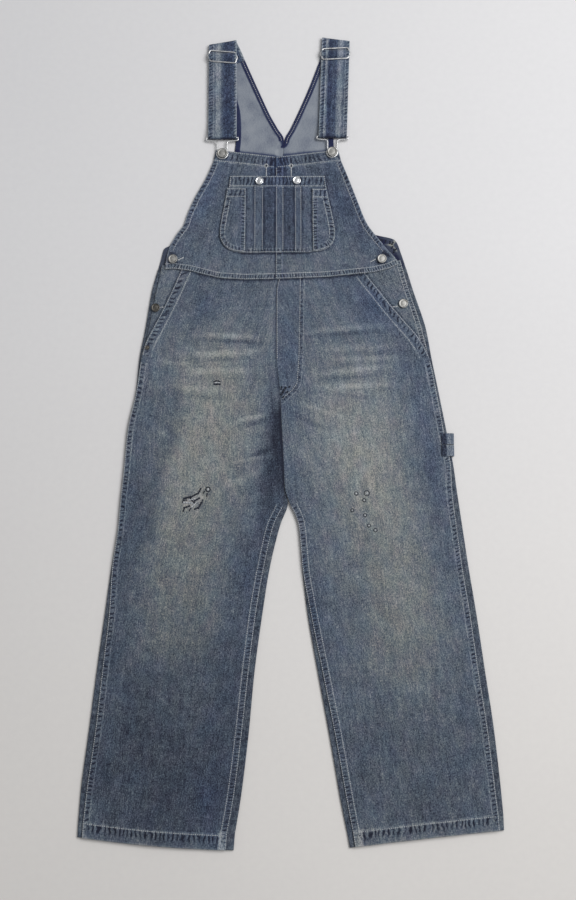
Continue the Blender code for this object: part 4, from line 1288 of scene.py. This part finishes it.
def metal_look(name, colour, roughness, dulled):
    """Turned or drawn metal with fine scratches and dull patches."""
    look = Look(name)
    place = look.node("ShaderNodeTexCoord").outputs["Object"]
    patches = look.noise(place, (220.0, 220.0, 220.0), 3.0)
    scratches = look.noise(place, (900.0, 2600.0, 900.0), 2.0)
    tint = look.ramp(look.sum(0.5, ((patches, 1.2),)), ((0.25, dulled), (0.7, colour)))
    rough = look.sum(roughness, ((patches, 0.25), (scratches, 0.2)))
    look.set(Base_Color=tint, Metallic=1.0, Roughness=rough)
    look.bump(scratches, 0.15, 0.0001)
    return look.material


DENIM = denim_look("washed_denim")
INSIDE = inside_look("denim_wrong_side")
PALE_THREAD = thread_look("pale_thread", (0.60, 0.61, 0.62), (0.34, 0.36, 0.39))
BLUE_THREAD = thread_look("blue_thread", (0.16, 0.18, 0.30), (0.05, 0.06, 0.13))
DARK_THREAD = thread_look("dark_thread", (0.030, 0.036, 0.055), (0.010, 0.013, 0.024))
NICKEL = metal_look("satin_nickel", (0.40, 0.395, 0.38), 0.48, (0.22, 0.215, 0.20))
BRIGHT = metal_look("bright_nickel", (0.86, 0.87, 0.88), 0.28, (0.70, 0.71, 0.72))
DRAWN = metal_look("drawn_nickel", (0.78, 0.78, 0.78), 0.40, (0.56, 0.56, 0.56))
DARK_NICKEL = metal_look("dark_nickel", (0.15, 0.14, 0.125), 0.45, (0.05, 0.05, 0.045))


def leg_sections(legs, side):
    """Leg sections from left to right: x, y and inset on both sides."""
    rows = []
    for row in legs:
        outer = (row.outer_x, row.outer_y, row.outer_inset)
        inner = (row.inner_x + side * GAP / 2, row.inner_y, row.inner_inset)
        rows.append(outer + inner if side < 0 else inner + outer)
    return rows


def hem_edge(legs, bow):
    """The hem's line as a function of x."""
    last = legs[-1]

    def edge(x):
        u = (x - last.outer_x) / (last.inner_x - last.outer_x)
        return last.outer_y + u * (last.inner_y - last.outer_y) + bow * 4 * u * (1 - u)
    return edge


def leg_back(legs, side, bow, washes_and_shades, fade):
    """A back leg: on the floor, round its folded edges and under the front's seams."""
    sections = leg_sections(legs, side)
    places = fine_places(sections, 3.0)
    left_x, left_y, left_in, right_x, right_y, right_in = smooth(sections, places).T
    angles = np.radians(np.linspace(0.0, 180.0, 10))
    strip = np.linspace(1.0, 0.0, 7)[:-1]
    arc_x = FOLD_RADIUS * (1.0 - np.sin(angles))
    arc_z = FOLD_RADIUS * (1.0 + np.cos(angles))
    fold_z = np.concatenate([np.full(len(strip), FOLD), arc_z])

    def aside(inset):
        flat = FOLD_RADIUS + strip[None, :] * (inset[:, None] + LAP - FOLD_RADIUS)
        return np.hstack([flat, as_rows(arc_x, len(inset))])

    left = left_x[:, None] + aside(left_in)
    right = (right_x[:, None] - aside(right_in))[:, ::-1]
    crotch = places < CROTCH_ROW
    if side < 0:
        right[crotch, 0] = right_x[crotch]
    else:
        left[crotch, -1] = left_x[crotch]
    shares = np.linspace(0.0, 1.0, 14)[1:-1]
    x = np.hstack([left, left[:, -1:] + shares[None, :] * (right[:, :1] - left[:, -1:]), right])
    floor_y = left_y[:, None] + shares[None, :] * (right_y - left_y)[:, None]
    count = len(fold_z)
    y = np.hstack([as_columns(left_y, count), floor_y, as_columns(right_y, count)])
    bend(x, y, places, places[-1], hem_edge(legs, bow))
    z = as_rows(np.concatenate([fold_z, np.zeros(len(shares)), fold_z[::-1]]), len(x))
    steps = np.hypot(np.diff(x, axis=1), np.diff(z, axis=1))
    from_left = np.hstack([np.zeros((len(x), 1)), np.cumsum(steps, axis=1)])
    grid = Grid(x, y, from_left, from_left[:, -1:] - from_left)
    on_top = (z > FOLD_RADIUS) & (np.abs(z - FOLD) > 0.01)
    grid.z = z + np.where(on_top, 0.3 * np.abs(0.35 * waves(x, y, 5 + side, 60.0)), 0.0)
    grid.fade -= fade
    grid.warm += 0.6
    grid.rope += 0.5 * waves(x, y, 9 + side, 22.0) * (z > 1.0)
    grid.fade += 0.25 * (grid.up < HEM_DEPTH)
    add_wash_and_shade(grid, washes_and_shades)
    grid.seed = 3.0 + side
    column = np.arange(x.shape[1])
    inside_crotch = column > x.shape[1] - 1 - count if side < 0 else column < count - 1
    grid.keep = ~(crotch[:, None] & inside_crotch[None, :])
    return grid


def front_sections(legs, slash, side):
    """Sections of a leg front, cut away along the slash pocket."""
    rows = []
    for point in slash[:-1]:
        inner_x = float(read(legs, point.y, key=4, column=3)) + side * GAP / 2
        outer, inner = (point.x, point.y), (inner_x, point.y)
        rows.append(outer + inner if side < 0 else inner + outer)
    for left_x, left_y, left_inset, right_x, right_y, right_inset in leg_sections(legs, side)[3:]:
        rows.append((left_x + left_inset, left_y, right_x - right_inset, right_y))
    return rows


def leg_front(legs, slash, creases, whiskers, side, bow, washes_and_shades, bands, seed):
    """A leg front: on the folded edges, over the pocket facing and under the bib."""
    sections = front_sections(legs, slash, side)
    stops = fine_stops(230.0, 18.0, 1.5, 3.6)
    grid = flat_grid(sections, stops, 2.1, lambda x: waist_y(x) + LAP, hem_edge(legs, bow))
    x, y = grid.x, grid.y
    outer, inner = (grid.left, grid.right) if side < 0 else (grid.right, grid.left)
    near_waist = read(WAIST_RISE, y - waist_y(x))
    near_slash = read(((SLASH_END - SLASH_RISE, 0.0), (SLASH_END, 1.0)), y)
    near_slash = near_slash * np.clip((40.0 - outer) / 28.0, 0.0, 1.0)
    free = ease((np.minimum(outer, inner) - 9.0) / 28.0)
    folds = crease_height(whiskers, x, y, 1.2)
    ripple = 0.5 * waves(x, y, seed, 70.0) + 0.9 * waves(x, y, seed + 1, 210.0, 5)
    relief = crease_height(creases, x, y) + folds + ripple * free
    grid.z = PANEL + CLOTH + (RAISED - PANEL) * np.maximum(near_waist, near_slash)
    grid.z += relief * free * (1.0 - near_waist)
    grid.z += HEM * ease((HEM_DEPTH + 0.7 - grid.up) / 1.6)
    grid.fade += 0.62 * folds * free
    grid.rope += 0.35 * waves(x, y, seed + 2, 26.0) * free * 0.6
    add_bands(grid, bands, seed + 10)
    add_wash_and_shade(grid, washes_and_shades)
    grid.fade += 0.22 * ease((1.6 - outer) / 1.2) + 0.3 * ease((1.4 - grid.up) / 1.0)
    grid.seed = 7.0 + side
    return grid


def pocket_facing(legs, slash, side, bands, seed):
    """The piece seen between a slash pocket's edge and the side seam."""
    sections = []
    for y in (18.0, -28.0, -98.0, -151.0, SLASH_END + 4.0):
        x = float(read(legs, y, key=1, column=0)) - side * float(read(legs, y, key=1, column=2))
        inner_x = float(read(slash, y, key=1, column=0)) - side * LAP
        sections.append((x, y, inner_x, y) if side < 0 else (inner_x, y, x, y))
    grid = flat_grid(sections, fine_stops(45.0, 6.0, 1.5, 2.5), 2.0, lambda x: waist_y(x) + LAP)
    outer = grid.left if side < 0 else grid.right
    grid.z = PANEL + CLOTH + 0.2 * waves(grid.x, grid.y, seed, 40.0)
    add_bands(grid, bands, seed)
    grid.rope += 0.3 * waves(grid.x, grid.y, seed + 2, 18.0)
    grid.fade += 0.16 + 0.10 * ease((1.6 - outer) / 1.2)
    grid.warm += 0.35
    grid.seed = 11.0 + side
    return grid


def bib_relief(x, y):
    """Soft waves of the bib, which its pockets follow."""
    return 0.4 * waves(x, y, 41, 90.0) + 0.5 * waves(x, y, 42, 200.0, 5)


def bib_half(rows, side, bands, seed):
    """Half of the bib, from the centre seam to the armhole's turned hem."""
    sections = []
    for row in rows:
        armhole, centre = row[:2], (CENTRE_FRONT + side * GAP / 2, row.centre_y)
        sections.append(armhole + centre if side < 0 else centre + armhole)
    grid = flat_grid(sections, fine_stops(130.0, 18.0, 1.5, 2.8), 1.8, None, waist_y)
    armhole = grid.beside(EDGES[side][0])[0]
    above = grid.y - waist_y(grid.x)
    grid.z = read(BIB_RISE, above) + CLOTH
    free = ease((armhole - 2.0) / 16.0) * ease((grid.down - 2.0) / 20.0)
    grid.z += bib_relief(grid.x, grid.y) * free * ease((above - 8.0) / 30.0)
    top = ease((TOP_HEM + 0.7 - grid.down) / 1.6)
    strip = ease((EDGE_HEM + 0.6 - armhole) / 1.4) * ease((above - 34.0) / 8.0)
    grid.z += HEM * np.maximum(top, strip)
    add_bands(grid, bands, seed)
    grid.rope += 0.28 * waves(grid.x, grid.y, seed + 20, 24.0)
    add_wash_and_shade(grid, WASH_BIB)
    grid.fade += 0.3 * ease((1.5 - armhole) / 1.1) + 0.3 * ease((1.5 - grid.down) / 1.1)
    grid.seed = 15.0 + side
    return grid


def laid_pocket(sections, height, band_depth, bands, seed):
    """A pocket laid on the bib, with a thicker band along its top."""
    width = sections[0].right_x - sections[0].left_x
    grid = flat_grid(sections, fine_stops(width, 8.0, 1.4, 2.4), 1.6)
    left, right, low = (grid.beside(edge)[0] for edge in ("left", "right", "up"))
    edge = np.minimum(np.minimum(left, right), low)
    grid.z = height + CLOTH + bib_relief(grid.x, grid.y) * ease((60.0 - edge) / 60.0 + 0.6)
    grid.z += HEM * ease((band_depth + 0.7 - grid.down) / 1.5)
    grid.z -= 0.25 * ease((1.6 - edge) / 1.2)
    add_bands(grid, bands, seed)
    grid.rope += 0.3 * waves(grid.x, grid.y, seed + 20, 22.0)
    add_wash_and_shade(grid, WASH_BIB)
    grid.fade += 0.35 * ease((1.5 - np.minimum(edge, grid.down)) / 1.1)
    grid.seed = seed
    return grid


def back_bib(rows, side, seed):
    """Half of the back bib, inside up, with the neck and armhole hems turned in."""
    sections = [(a + side * GAP / 2, b, c + side * GAP / 2, d) for a, b, c, d in rows]
    grid = flat_grid(sections, fine_stops(60.0, 11.0, 1.4, 3.4), 2.2)
    outer, inner = EDGES[side]
    armhole, neck = grid.beside(outer)[0], grid.beside(inner)[0]
    crossing = beside_line(grid.x, grid.y, NECK_CROSSING)[0]
    row = fine_places(sections, 2.2)[:, None]
    on_neck = ease((EDGE_HEM + 0.6 - neck) / 1.3) * (row <= NECK_ROW + 0.001)
    below_neck = ease((EDGE_HEM + 0.6 - crossing) / 1.3) * (crossing > -0.3) * (row > NECK_ROW)
    hems = np.maximum(np.maximum(on_neck, below_neck), ease((EDGE_HEM + 0.6 - armhole) / 1.3))
    grid.z = CLOTH + HEM * hems + 0.25 * np.abs(waves(grid.x, grid.y, seed, 60.0)) * (1.0 - hems)
    neck_end = float(np.interp(NECK_ROW, row[:, 0], grid.down[:, -1 if side < 0 else 0]))
    add_bands(grid, table(
        Band,
        (outer, 0, ALL, EDGE_HEM, 8, 0.8, 0.22, 0, 0),
        (inner, 0, neck_end, EDGE_HEM, 8, -0.8, 0.22, 0, 0),
    ), seed + 1)
    # Below about 150 mm the back bib is warmer and darker: partly its own tone, partly painted shade
    # beside the front bib's armhole
    low = ease((150.0 - grid.y) / 50.0)
    grid.warm += 0.85 * low
    grid.fade -= 0.92 * hems * (1.0 - low) + (0.52 + 0.10 * hems) * low
    grid.fade += 0.12 * waves(grid.x, grid.y, seed + 5, 50.0) * (1.0 - hems)
    grid.seed = 19.0 + side
    return grid


def front_x(way, y):
    """The middle of a strap's front run at y."""
    return way.ring_x + (way.top_x - way.ring_x) * (y - way.ring_y) / (way.top_y - way.ring_y)


def strap_stations(way):
    """The strap's middle line: x, y, z and the turn of its width at each station."""
    radius = (TOP_RUN - BACK_RUN) / 2
    fold_y = way.top_y - radius - STRAP / 2
    fold_x = front_x(way, fold_y)
    turn = math.radians(way.start_turn)
    start_x = way.start_x - math.sin(turn) * STRAP_START_GAP
    start_y = way.start_y + math.cos(turn) * STRAP_START_GAP
    slider_y = way.top_y - SLIDER_FROM_TOP
    bar_y = way.ring_y + BAR_ABOVE_LOOP
    half_turn = [math.radians(30.0 * step) for step in range(7)]
    stations = []

    def add(y, z, turn):
        stations.append((front_x(way, y), y, z, turn))

    for share, turned in ((0.0, 0.0), (0.3, 0.0), (0.6, 0.0), (0.85, 0.62)):
        angle = way.start_turn + turned * (way.top_turn - way.start_turn)
        x = start_x + share * (fold_x - start_x)
        stations.append((x, start_y + share * (fold_y - start_y), BACK_RUN, angle))
    for angle in half_turn:
        add(fold_y + radius * math.sin(angle), BACK_RUN + radius * (1 - math.cos(angle)), way.top_turn)
    for start, rows in ((slider_y, OVER_SLIDER), (bar_y, TO_BAR)):
        for row in rows:
            add(start + row.along, row.z, way.top_turn * row.turned)
    for angle in half_turn:
        add(bar_y - WIRE_TURN * math.sin(angle), BAR_HEIGHT + WIRE_TURN * math.cos(angle), 0.0)
    for start, rows in ((bar_y, TAIL_FROM_BAR), (slider_y, TAIL_END)):
        for row in rows:
            add(start + row.along, row.z, 0.0)
    return np.array(stations)


def strap(way, tones, seed):
    """A strap: on the floor, folded over at the top, through the slider and round the bar."""
    stations = strap_stations(way)
    steps = np.hypot(np.hypot(np.diff(stations[:, 0]), np.diff(stations[:, 1])), np.diff(stations[:, 2]))
    places = [0.0]
    for index, step in enumerate(steps):
        count = max(1, math.ceil(step / 1.8))
        places += [index + part / count for part in range(1, count + 1)]
    places = np.array(places)
    numbers = np.arange(len(stations))
    path = np.stack([np.interp(places, numbers, stations[:, k]) for k in range(4)], axis=-1)
    half = STRAP_WIDTH / 2
    angle = np.radians(path[:, 3])[:, None]
    across = as_rows(np.linspace(-1.0, 1.0, 39), len(path)) * half
    x = path[:, :1] + across * np.cos(angle)
    y = path[:, 1:2] + across * np.sin(angle)
    grid = Grid(x, y, across + half, half - across)
    run = np.concatenate([[0.0], np.cumsum(np.linalg.norm(np.diff(path[:, :3], axis=0), axis=1))])
    grid.down = as_columns(run, across.shape[1])
    grid.up = run[-1] - grid.down
    grid.folded = True
    grid.shown = slice(*np.searchsorted(places, STRAP_SHOWN))
    add_bands(grid, BANDS_STRAP, seed)
    lift = grid.z
    ahead = np.gradient(path[:, :3], axis=0)
    ahead /= np.linalg.norm(ahead, axis=1)[:, None]
    grid.y = grid.y + lift * ahead[:, 2:3]
    grid.z = path[:, 2:3] - lift * ahead[:, 1:2]
    tone = np.interp(across, *zip(*tones))
    grid.fade += tone
    grid.warm += 0.9 * np.minimum(tone, 0.0) - 0.1
    grid.rope += 0.35 * waves(grid.x, grid.down, seed + 2, 20.0)
    grid.fade += 0.22 * ease((1.3 - np.minimum(grid.left, grid.right)) / 1.0)
    grid.seed = seed
    return grid


def hammer_loop(top, seed):
    """One end of the hammer loop: on the leg front, round its edge and down to the floor."""
    outer_top = RAISED + CLOTH
    radius = outer_top / 2
    centre_x = LOOP_RIGHT - radius
    path = [(LOOP_LEFT + share * (centre_x - LOOP_LEFT) / 10, outer_top) for share in range(10)]
    for step in range(13):
        angle = math.radians(15.0 * step)
        path.append((centre_x + radius * math.sin(angle), radius + radius * math.cos(angle)))
    path = np.array(path)
    run = run_of(path)
    rows = np.linspace(0.0, LOOP_WIDTH, 14)
    x = as_rows(path[:, 0], len(rows))
    y = as_columns(top - rows, len(path))
    grid = Grid(x, y, as_rows(run, len(rows)), as_rows(run[-1] - run, len(rows)))
    grid.z = as_rows(path[:, 1], len(rows))
    edge = np.minimum(grid.down, grid.up)
    grid.rope += 0.5 * np.sin(grid.left * 0.8) * ease((4.5 - edge) / 2.0)
    marks = (LOOP_LEFT, LOOP_LEFT + 8.0, LOOP_LEFT + 10.5, LOOP_RIGHT)
    grid.fade += np.interp(x, marks, (-1.1, -1.0, 0.45, 0.25))
    grid.fade += 0.3 * ease((1.2 - edge) / 1.0)
    grid.seed = seed
    return grid


def wire(name, outline, height, radius):
    """A round closed wire along an outline, at one height."""
    curve = bpy.data.curves.new(name, "CURVE")
    curve.dimensions = "3D"
    spline = curve.splines.new("POLY")
    spline.points.add(len(outline) - 1)
    for point, (x, y) in zip(spline.points, outline):
        point.co = ((x + ORIGIN_X) * MM, (y + ORIGIN_Y) * MM, height * MM, 1.0)
    spline.use_cyclic_u = True
    spline.use_smooth = True
    curve.bevel_depth = radius * MM
    curve.bevel_resolution = 4
    curve.materials.append(DRAWN)
    piece = bpy.data.objects.new(name, curve)
    bpy.context.scene.collection.objects.link(piece)
    return piece


def rounded_line(corners, step=0.35):
    """A smooth closed line through corner points."""
    points = np.array(corners, float)
    count = len(points)
    places = np.arange(0.0, count, step)
    index = places.astype(int)
    part = (places - index)[:, None]
    a, b, c, d = (points[(index + shift) % count] for shift in (-1, 0, 1, 2))
    square = 2 * a - 5 * b + 4 * c - d
    cube = 3 * b - a - 3 * c + d
    curve = 2 * b + (c - a) * part + square * part**2 + cube * part**3
    return (curve / 2).tolist()


def buckle(name, way):
    """The buckle's wire: the bar, the shoulders, the neck and the ring at its foot."""
    half = [(row.aside * (DRAWN_IN if row.above < NECK_TOP else 1.0), row.above) for row in BUCKLE]
    for step in range(5):
        angle = math.radians(-18.0 * step)
        half.append((LOOP_RADIUS * math.cos(angle), LOOP_RADIUS * math.sin(angle)))
    outline = half + [(0.0, -LOOP_RADIUS)] + [(-x, y) for x, y in half[::-1]]
    placed = [(front_x(way, way.ring_y + y) + x, way.ring_y + y) for x, y in outline]
    return wire(name, rounded_line(placed), BAR_HEIGHT, WIRE_SHOWN / 2)


def slider(name, way, tilt):
    """A six-sided wire frame with blunt ends, leaning by a tilt, that the strap is woven through."""
    y = way.top_y - SLIDER_FROM_TOP
    x = front_x(way, y)
    right = [tuple(row) for row in SLIDER_QUARTER]
    right += [(aside, -above) for aside, above in SLIDER_QUARTER[-2::-1]]
    outline = right + [(-aside, above) for aside, above in right[-2:0:-1]]
    lean = math.tan(math.radians(tilt))
    placed = [(x + aside, y + above + aside * lean) for aside, above in outline]
    return wire(name, placed, TOP_RUN + STRAP / 2 + GAP + SLIDER_WIRE, SLIDER_WIRE)


def button(place, look):
    """A turned button: a shank, a domed head with a ring pressed in it, and a rim."""
    on_ring = place.name.startswith("strap")
    radius = place.radius + (1.5 if on_ring else 0.0)
    lift = (1.9 if radius > 5.0 else 0.4) + (1.4 if on_ring else 0.0)
    profile = [(radius * share, lift + height) for share, height in BUTTON_PROFILE]
    profile.append((radius * BUTTON_SHANK, 0.0))
    turns = 48
    points = []
    for r, z in profile:
        for step in range(turns):
            angle = 2 * math.pi * step / turns
            x = place.x + r * math.cos(angle)
            y = place.y + r * math.sin(angle)
            points.append((x, y, place.z + GAP + z))
    faces = []
    for ring in range(0, (len(profile) - 1) * turns, turns):
        for step in range(turns):
            after = (step + 1) % turns
            faces.append((ring + step, ring + turns + step, ring + turns + after, ring + after))
    faces.append(range(len(profile) * turns - 1, (len(profile) - 1) * turns - 1, -1))
    piece = new_mesh(place.name + "_turned", points, faces)
    shape = bmesh.new()
    shape.from_mesh(piece.data)
    bmesh.ops.remove_doubles(shape, verts=shape.verts, dist=0.000001)
    bmesh.ops.recalc_face_normals(shape, faces=shape.faces)
    shape.to_mesh(piece.data)
    shape.free()
    piece.data.materials.append(look)
    return piece


# The panels: the piece's name, the node that it replaces, what it rests on, its slot, the
# looks of its upper and lower side, its thickness and which side of the grid it is on
Panel = namedtuple(
    "Panel",
    "name node under slot looks thickness offset",
    defaults=("denim", (DENIM, INSIDE), SHELL, -1.0),
)
INSIDE_UP = ("denim_inside", (INSIDE, DENIM))
FOLDED_UP = ("denim", (INSIDE, DENIM), SHELL, 1.0)
DOUBLED = ("denim", (DENIM, DENIM), STRAP_SHELL, 0.0)
PANELS = {
    "leg_back_l": Panel("back_leg_left", "leg_back_l", ["floor"], *FOLDED_UP),
    "leg_back_r": Panel("back_leg_right", "leg_back_r", ["floor"], *FOLDED_UP),
    "leg_l": Panel("front_leg_left", "leg_front_l", ["back_leg_left", "facing_left"]),
    "leg_r": Panel("front_leg_right", "leg_front_r", ["back_leg_right", "facing_right"]),
    "facing_l": Panel("facing_left", "pocket_facing_l", ["back_leg_left"]),
    "facing_r": Panel("facing_right", "pocket_facing_r", ["back_leg_right"]),
    "bib_l": Panel("front_bib_left", "bib_l", ["back_bib_left", "front_leg_left"]),
    "bib_r": Panel("front_bib_right", "bib_r", ["back_bib_right", "front_leg_right"]),
    "pocket": Panel("chest_pocket", "bib_pocket", ["front_bib_left", "front_bib_right"]),
    "pencil_l": Panel("pencil_pocket_left", "pencil_pocket_l", ["chest_pocket"]),
    "pencil_r": Panel("pencil_pocket_right", "pencil_pocket_r", ["chest_pocket"]),
    "back_l": Panel("back_bib_left", "back_bib_l", ["floor"], *INSIDE_UP),
    "back_r": Panel("back_bib_right", "back_bib_r", ["floor"], *INSIDE_UP),
    "strap_l": Panel("long_strap_l", "strap_l", ["back_bib_left"], *DOUBLED),
    "strap_r": Panel("long_strap_r", "strap_r", ["back_bib_right"], *DOUBLED),
    "loop_upper": Panel("loop_upper_cloth", "hammer_loop_upper", ["front_leg_right"]),
    "loop_lower": Panel("loop_lower_cloth", "hammer_loop_lower", ["front_leg_right"]),
}
THREADS = {"pale": PALE_THREAD, "dark": DARK_THREAD, "blue": BLUE_THREAD}


def build_grids():
    """The grid of every panel."""
    return {
        "leg_back_l": leg_back(LEG_L, -1, HEM_BOW_L, WASH_BACK_L, 0.34),
        "leg_back_r": leg_back(LEG_R, 1, HEM_BOW_R, WASH_BACK_R, 0.28),
        "leg_l": leg_front(LEG_L, SLASH_L, CREASES_L, WHISKERS_L, -1, HEM_BOW_L, WASH_AND_SHADE_L, BANDS_LEG_L, 60),
        "leg_r": leg_front(LEG_R, SLASH_R, CREASES_R, WHISKERS_R, 1, HEM_BOW_R, WASH_R, BANDS_LEG_R, 80),
        "facing_l": pocket_facing(LEG_L, SLASH_L, -1, (), 31),
        "facing_r": pocket_facing(LEG_R, SLASH_R, 1, BANDS_FACING_R, 33),
        "bib_l": bib_half(BIB_L, -1, BANDS_BIB_L, 100),
        "bib_r": bib_half(BIB_R, 1, BANDS_BIB_R, 110),
        "pocket": laid_pocket(BIB_POCKET, POCKET, 19.0, BANDS_POCKET, 120),
        "pencil_l": laid_pocket(PENCIL_L, PENCIL, 15.5, BANDS_PENCIL_L, 130),
        "pencil_r": laid_pocket(PENCIL_R, PENCIL, 15.5, BANDS_PENCIL_R, 140),
        "back_l": back_bib(BACK_BIB_L, -1, 150),
        "back_r": back_bib(BACK_BIB_R, 1, 160),
        "strap_l": strap(STRAP_L, TONES_L, 170),
        "strap_r": strap(STRAP_R, TONES_R, 180),
        "loop_upper": hammer_loop(LOOP_TOPS[0], 190),
        "loop_lower": hammer_loop(LOOP_TOPS[1], 191),
    }


def shade_lines(grids):
    """Darken and fade the panels along lines: painted shade, paler wear and darker lines."""
    for panel, rows in SHADES.items():
        grid = grids[panel]
        for row in table(Shade, *rows):
            line = grids[row.line[0]].edge(row.line[1]) if isinstance(row.line[0], str) else row.line
            distance, run = beside_line(grid.x, grid.y, resample(line, 3.0))
            along = ease((run - row.begin) / 30.0 + 0.5) * ease((row.end - run) / 30.0 + 0.5)
            grid.fade += row.fade * np.exp(-(((distance - row.off) / row.width) ** 2)) * along


def lay_threads(grids):
    """The threads of every panel, by panel and kind of thread."""
    made = {}

    def thread(panel, kind):
        if (panel, kind) not in made:
            made[panel, kind] = Thread(f"{kind}_thread_{panel}", grids[panel], THREADS[kind])
        return made[panel, kind]

    for panel, rows in STITCHES.items():
        for row in table(Row, *rows):
            points = edge_line(grids[panel], row.edge, row.distance, row.begin, row.end)
            thread(panel, row.thread).line(points)
    for panel, points in LINES:
        thread(panel, "pale").line(points)
    for (panel, kind), rows in STROKES.items():
        for row in table(Stroke, *rows):
            thread(panel, kind).stroke(*row)
    for row in RINGS:
        thread(row.panel, "dark").ring(row.x, row.y, row.radius, row.width)
        thread(row.panel, "pale").stroke(row.inner_x, row.y, row.turn, row.length, row.inner_width)
    for x, panel in BUTTONHOLES:
        thread(panel, "dark").stroke(x, BUTTONHOLE_TOP, 90.0, 4.0, 3.4)
        thread(panel, "pale").ring(x, BUTTONHOLE_TOP, 2.9, 1.9)
        thread(panel, "pale").stroke(x, BUTTONHOLE_TOP - 11.5, 90.0, 17.0, 2.2)
    return made


def flat_area(grid):
    """Area of a grid's faces in square millimetres."""
    points = grid.points()
    one = points[1:, 1:] - points[:-1, :-1]
    two = points[1:, :-1] - points[:-1, 1:]
    areas = np.linalg.norm(np.cross(one, two), axis=-1) / 2
    return float((areas if grid.keep is None else areas * grid.keep[:-1, :-1]).sum())


def fasten(piece, node):
    """Fasten a piece to the frame in its node's place."""
    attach(piece, "root")
    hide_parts(node)


def fasten_cloth(piece, panel, grid, threads):
    """Fasten a cloth piece with its threads; the area it was cut to is worked out but not used."""
    fasten(piece, panel.node)
    for thread in threads:
        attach(thread, "root")
    width, length = float((grid.left + grid.right).max()), float(grid.down[-1].max())
    if panel.name.startswith("loop"):
        width, length = length, width
    area = min(flat_area(grid), width * length) * MM * MM


def main():
    floor_and_light()
    grids = build_grids()
    shade_lines(grids)
    pieces = {name: cloth(panel, grids[name]) for name, panel in PANELS.items()}
    own = {name: [] for name in PANELS}
    for (name, _), thread in lay_threads(grids).items():
        own[name].append(thread.make())
    for name, panel in PANELS.items():
        fasten_cloth(pieces[name], panel, grids[name], own[name])
    for half, way, tilt in (("l", STRAP_L, -5.0), ("r", STRAP_R, 3.0)):
        fasten(slider(f"slider_{half}_frame", way, tilt), f"slider_{half}")
    for half, way in (("l", STRAP_L), ("r", STRAP_R)):
        fasten(buckle(f"buckle_{half}_wire", way), f"buckle_{half}")
    for place in BUTTONS:
        # The left side button and the rivet are given the dark metal
        look = DARK_NICKEL if place.name in ("side_button_l", "rivet_l") else NICKEL
        look = BRIGHT if place.name.startswith("pocket") else look
        fasten(button(place, look), place.name)


def floor_and_light():
    """The pale surface, a large soft light from the upper right, a grey sky and the camera."""
    scene = bpy.context.scene
    look = Look("pale_floor")
    place = look.node("ShaderNodeTexCoord").outputs["Object"]
    cloud = look.noise(place, (1.2, 1.2, 1.2), 3.0)
    grain = look.noise(place, (90.0, 90.0, 90.0), 3.0)
    tone = look.sum(0.5, ((cloud, 0.4), (grain, 0.25)))
    colour = look.ramp(tone, ((0.2, (0.70, 0.69, 0.70)), (0.8, (0.80, 0.79, 0.79))))
    # The floor is a little darker and warmer towards -Y, the bottom of the view: painted shade
    floor_shade_to_front = look.between(look.split(place)["Y"], 0.5, -0.8)
    tinted = look.tint(floor_shade_to_front, colour, (1.01, 0.985, 0.94))
    look.set(Base_Color=tinted, Roughness=0.8, Specular_IOR_Level=0.2)
    look.bump(grain, 0.05, 0.0005)
    mesh = bpy.data.meshes.new("floor")
    corners = [(x * FLOOR_HALF, y * FLOOR_HALF, 0.0) for x, y in ((-1, -1), (1, -1), (1, 1), (-1, 1))]
    mesh.from_pydata(corners, [], [(0, 1, 2, 3)])
    mesh.materials.append(look.material)
    floor = bpy.data.objects.new("floor", mesh)
    floor.location.z = FLOOR_Z
    scene.collection.objects.link(floor)

    lamp = bpy.data.lights.new("window", "AREA")
    lamp.shape = "RECTANGLE"
    lamp.size, lamp.size_y = LAMP_SIZE
    lamp.energy = LAMP_POWER
    window = bpy.data.objects.new("window", lamp)
    window.location = LAMP_PLACE
    window.rotation_euler = (-window.location).to_track_quat("-Z", "Y").to_euler()
    scene.collection.objects.link(window)

    world = bpy.data.worlds.new("studio")
    world.use_nodes = True
    background = world.node_tree.nodes["Background"]
    background.inputs["Color"].default_value = (0.95, 0.97, 1.0, 1.0)
    background.inputs["Strength"].default_value = SKY
    scene.world = world

    tilt = math.radians(TILT)
    camera_data = bpy.data.cameras.new("camera")
    camera_data.lens = LENS
    camera_data.sensor_width = SENSOR
    camera = bpy.data.objects.new("camera", camera_data)
    camera.location = (
        (LOOK_AT[0] + ORIGIN_X) * MM,
        (LOOK_AT[1] + ORIGIN_Y - DISTANCE * math.sin(tilt)) * MM,
        DISTANCE * math.cos(tilt) * MM,
    )
    camera.rotation_euler = (tilt, 0.0, 0.0)
    scene.collection.objects.link(camera)
    scene.camera = camera
    scene.view_settings.view_transform = "Standard"


main()
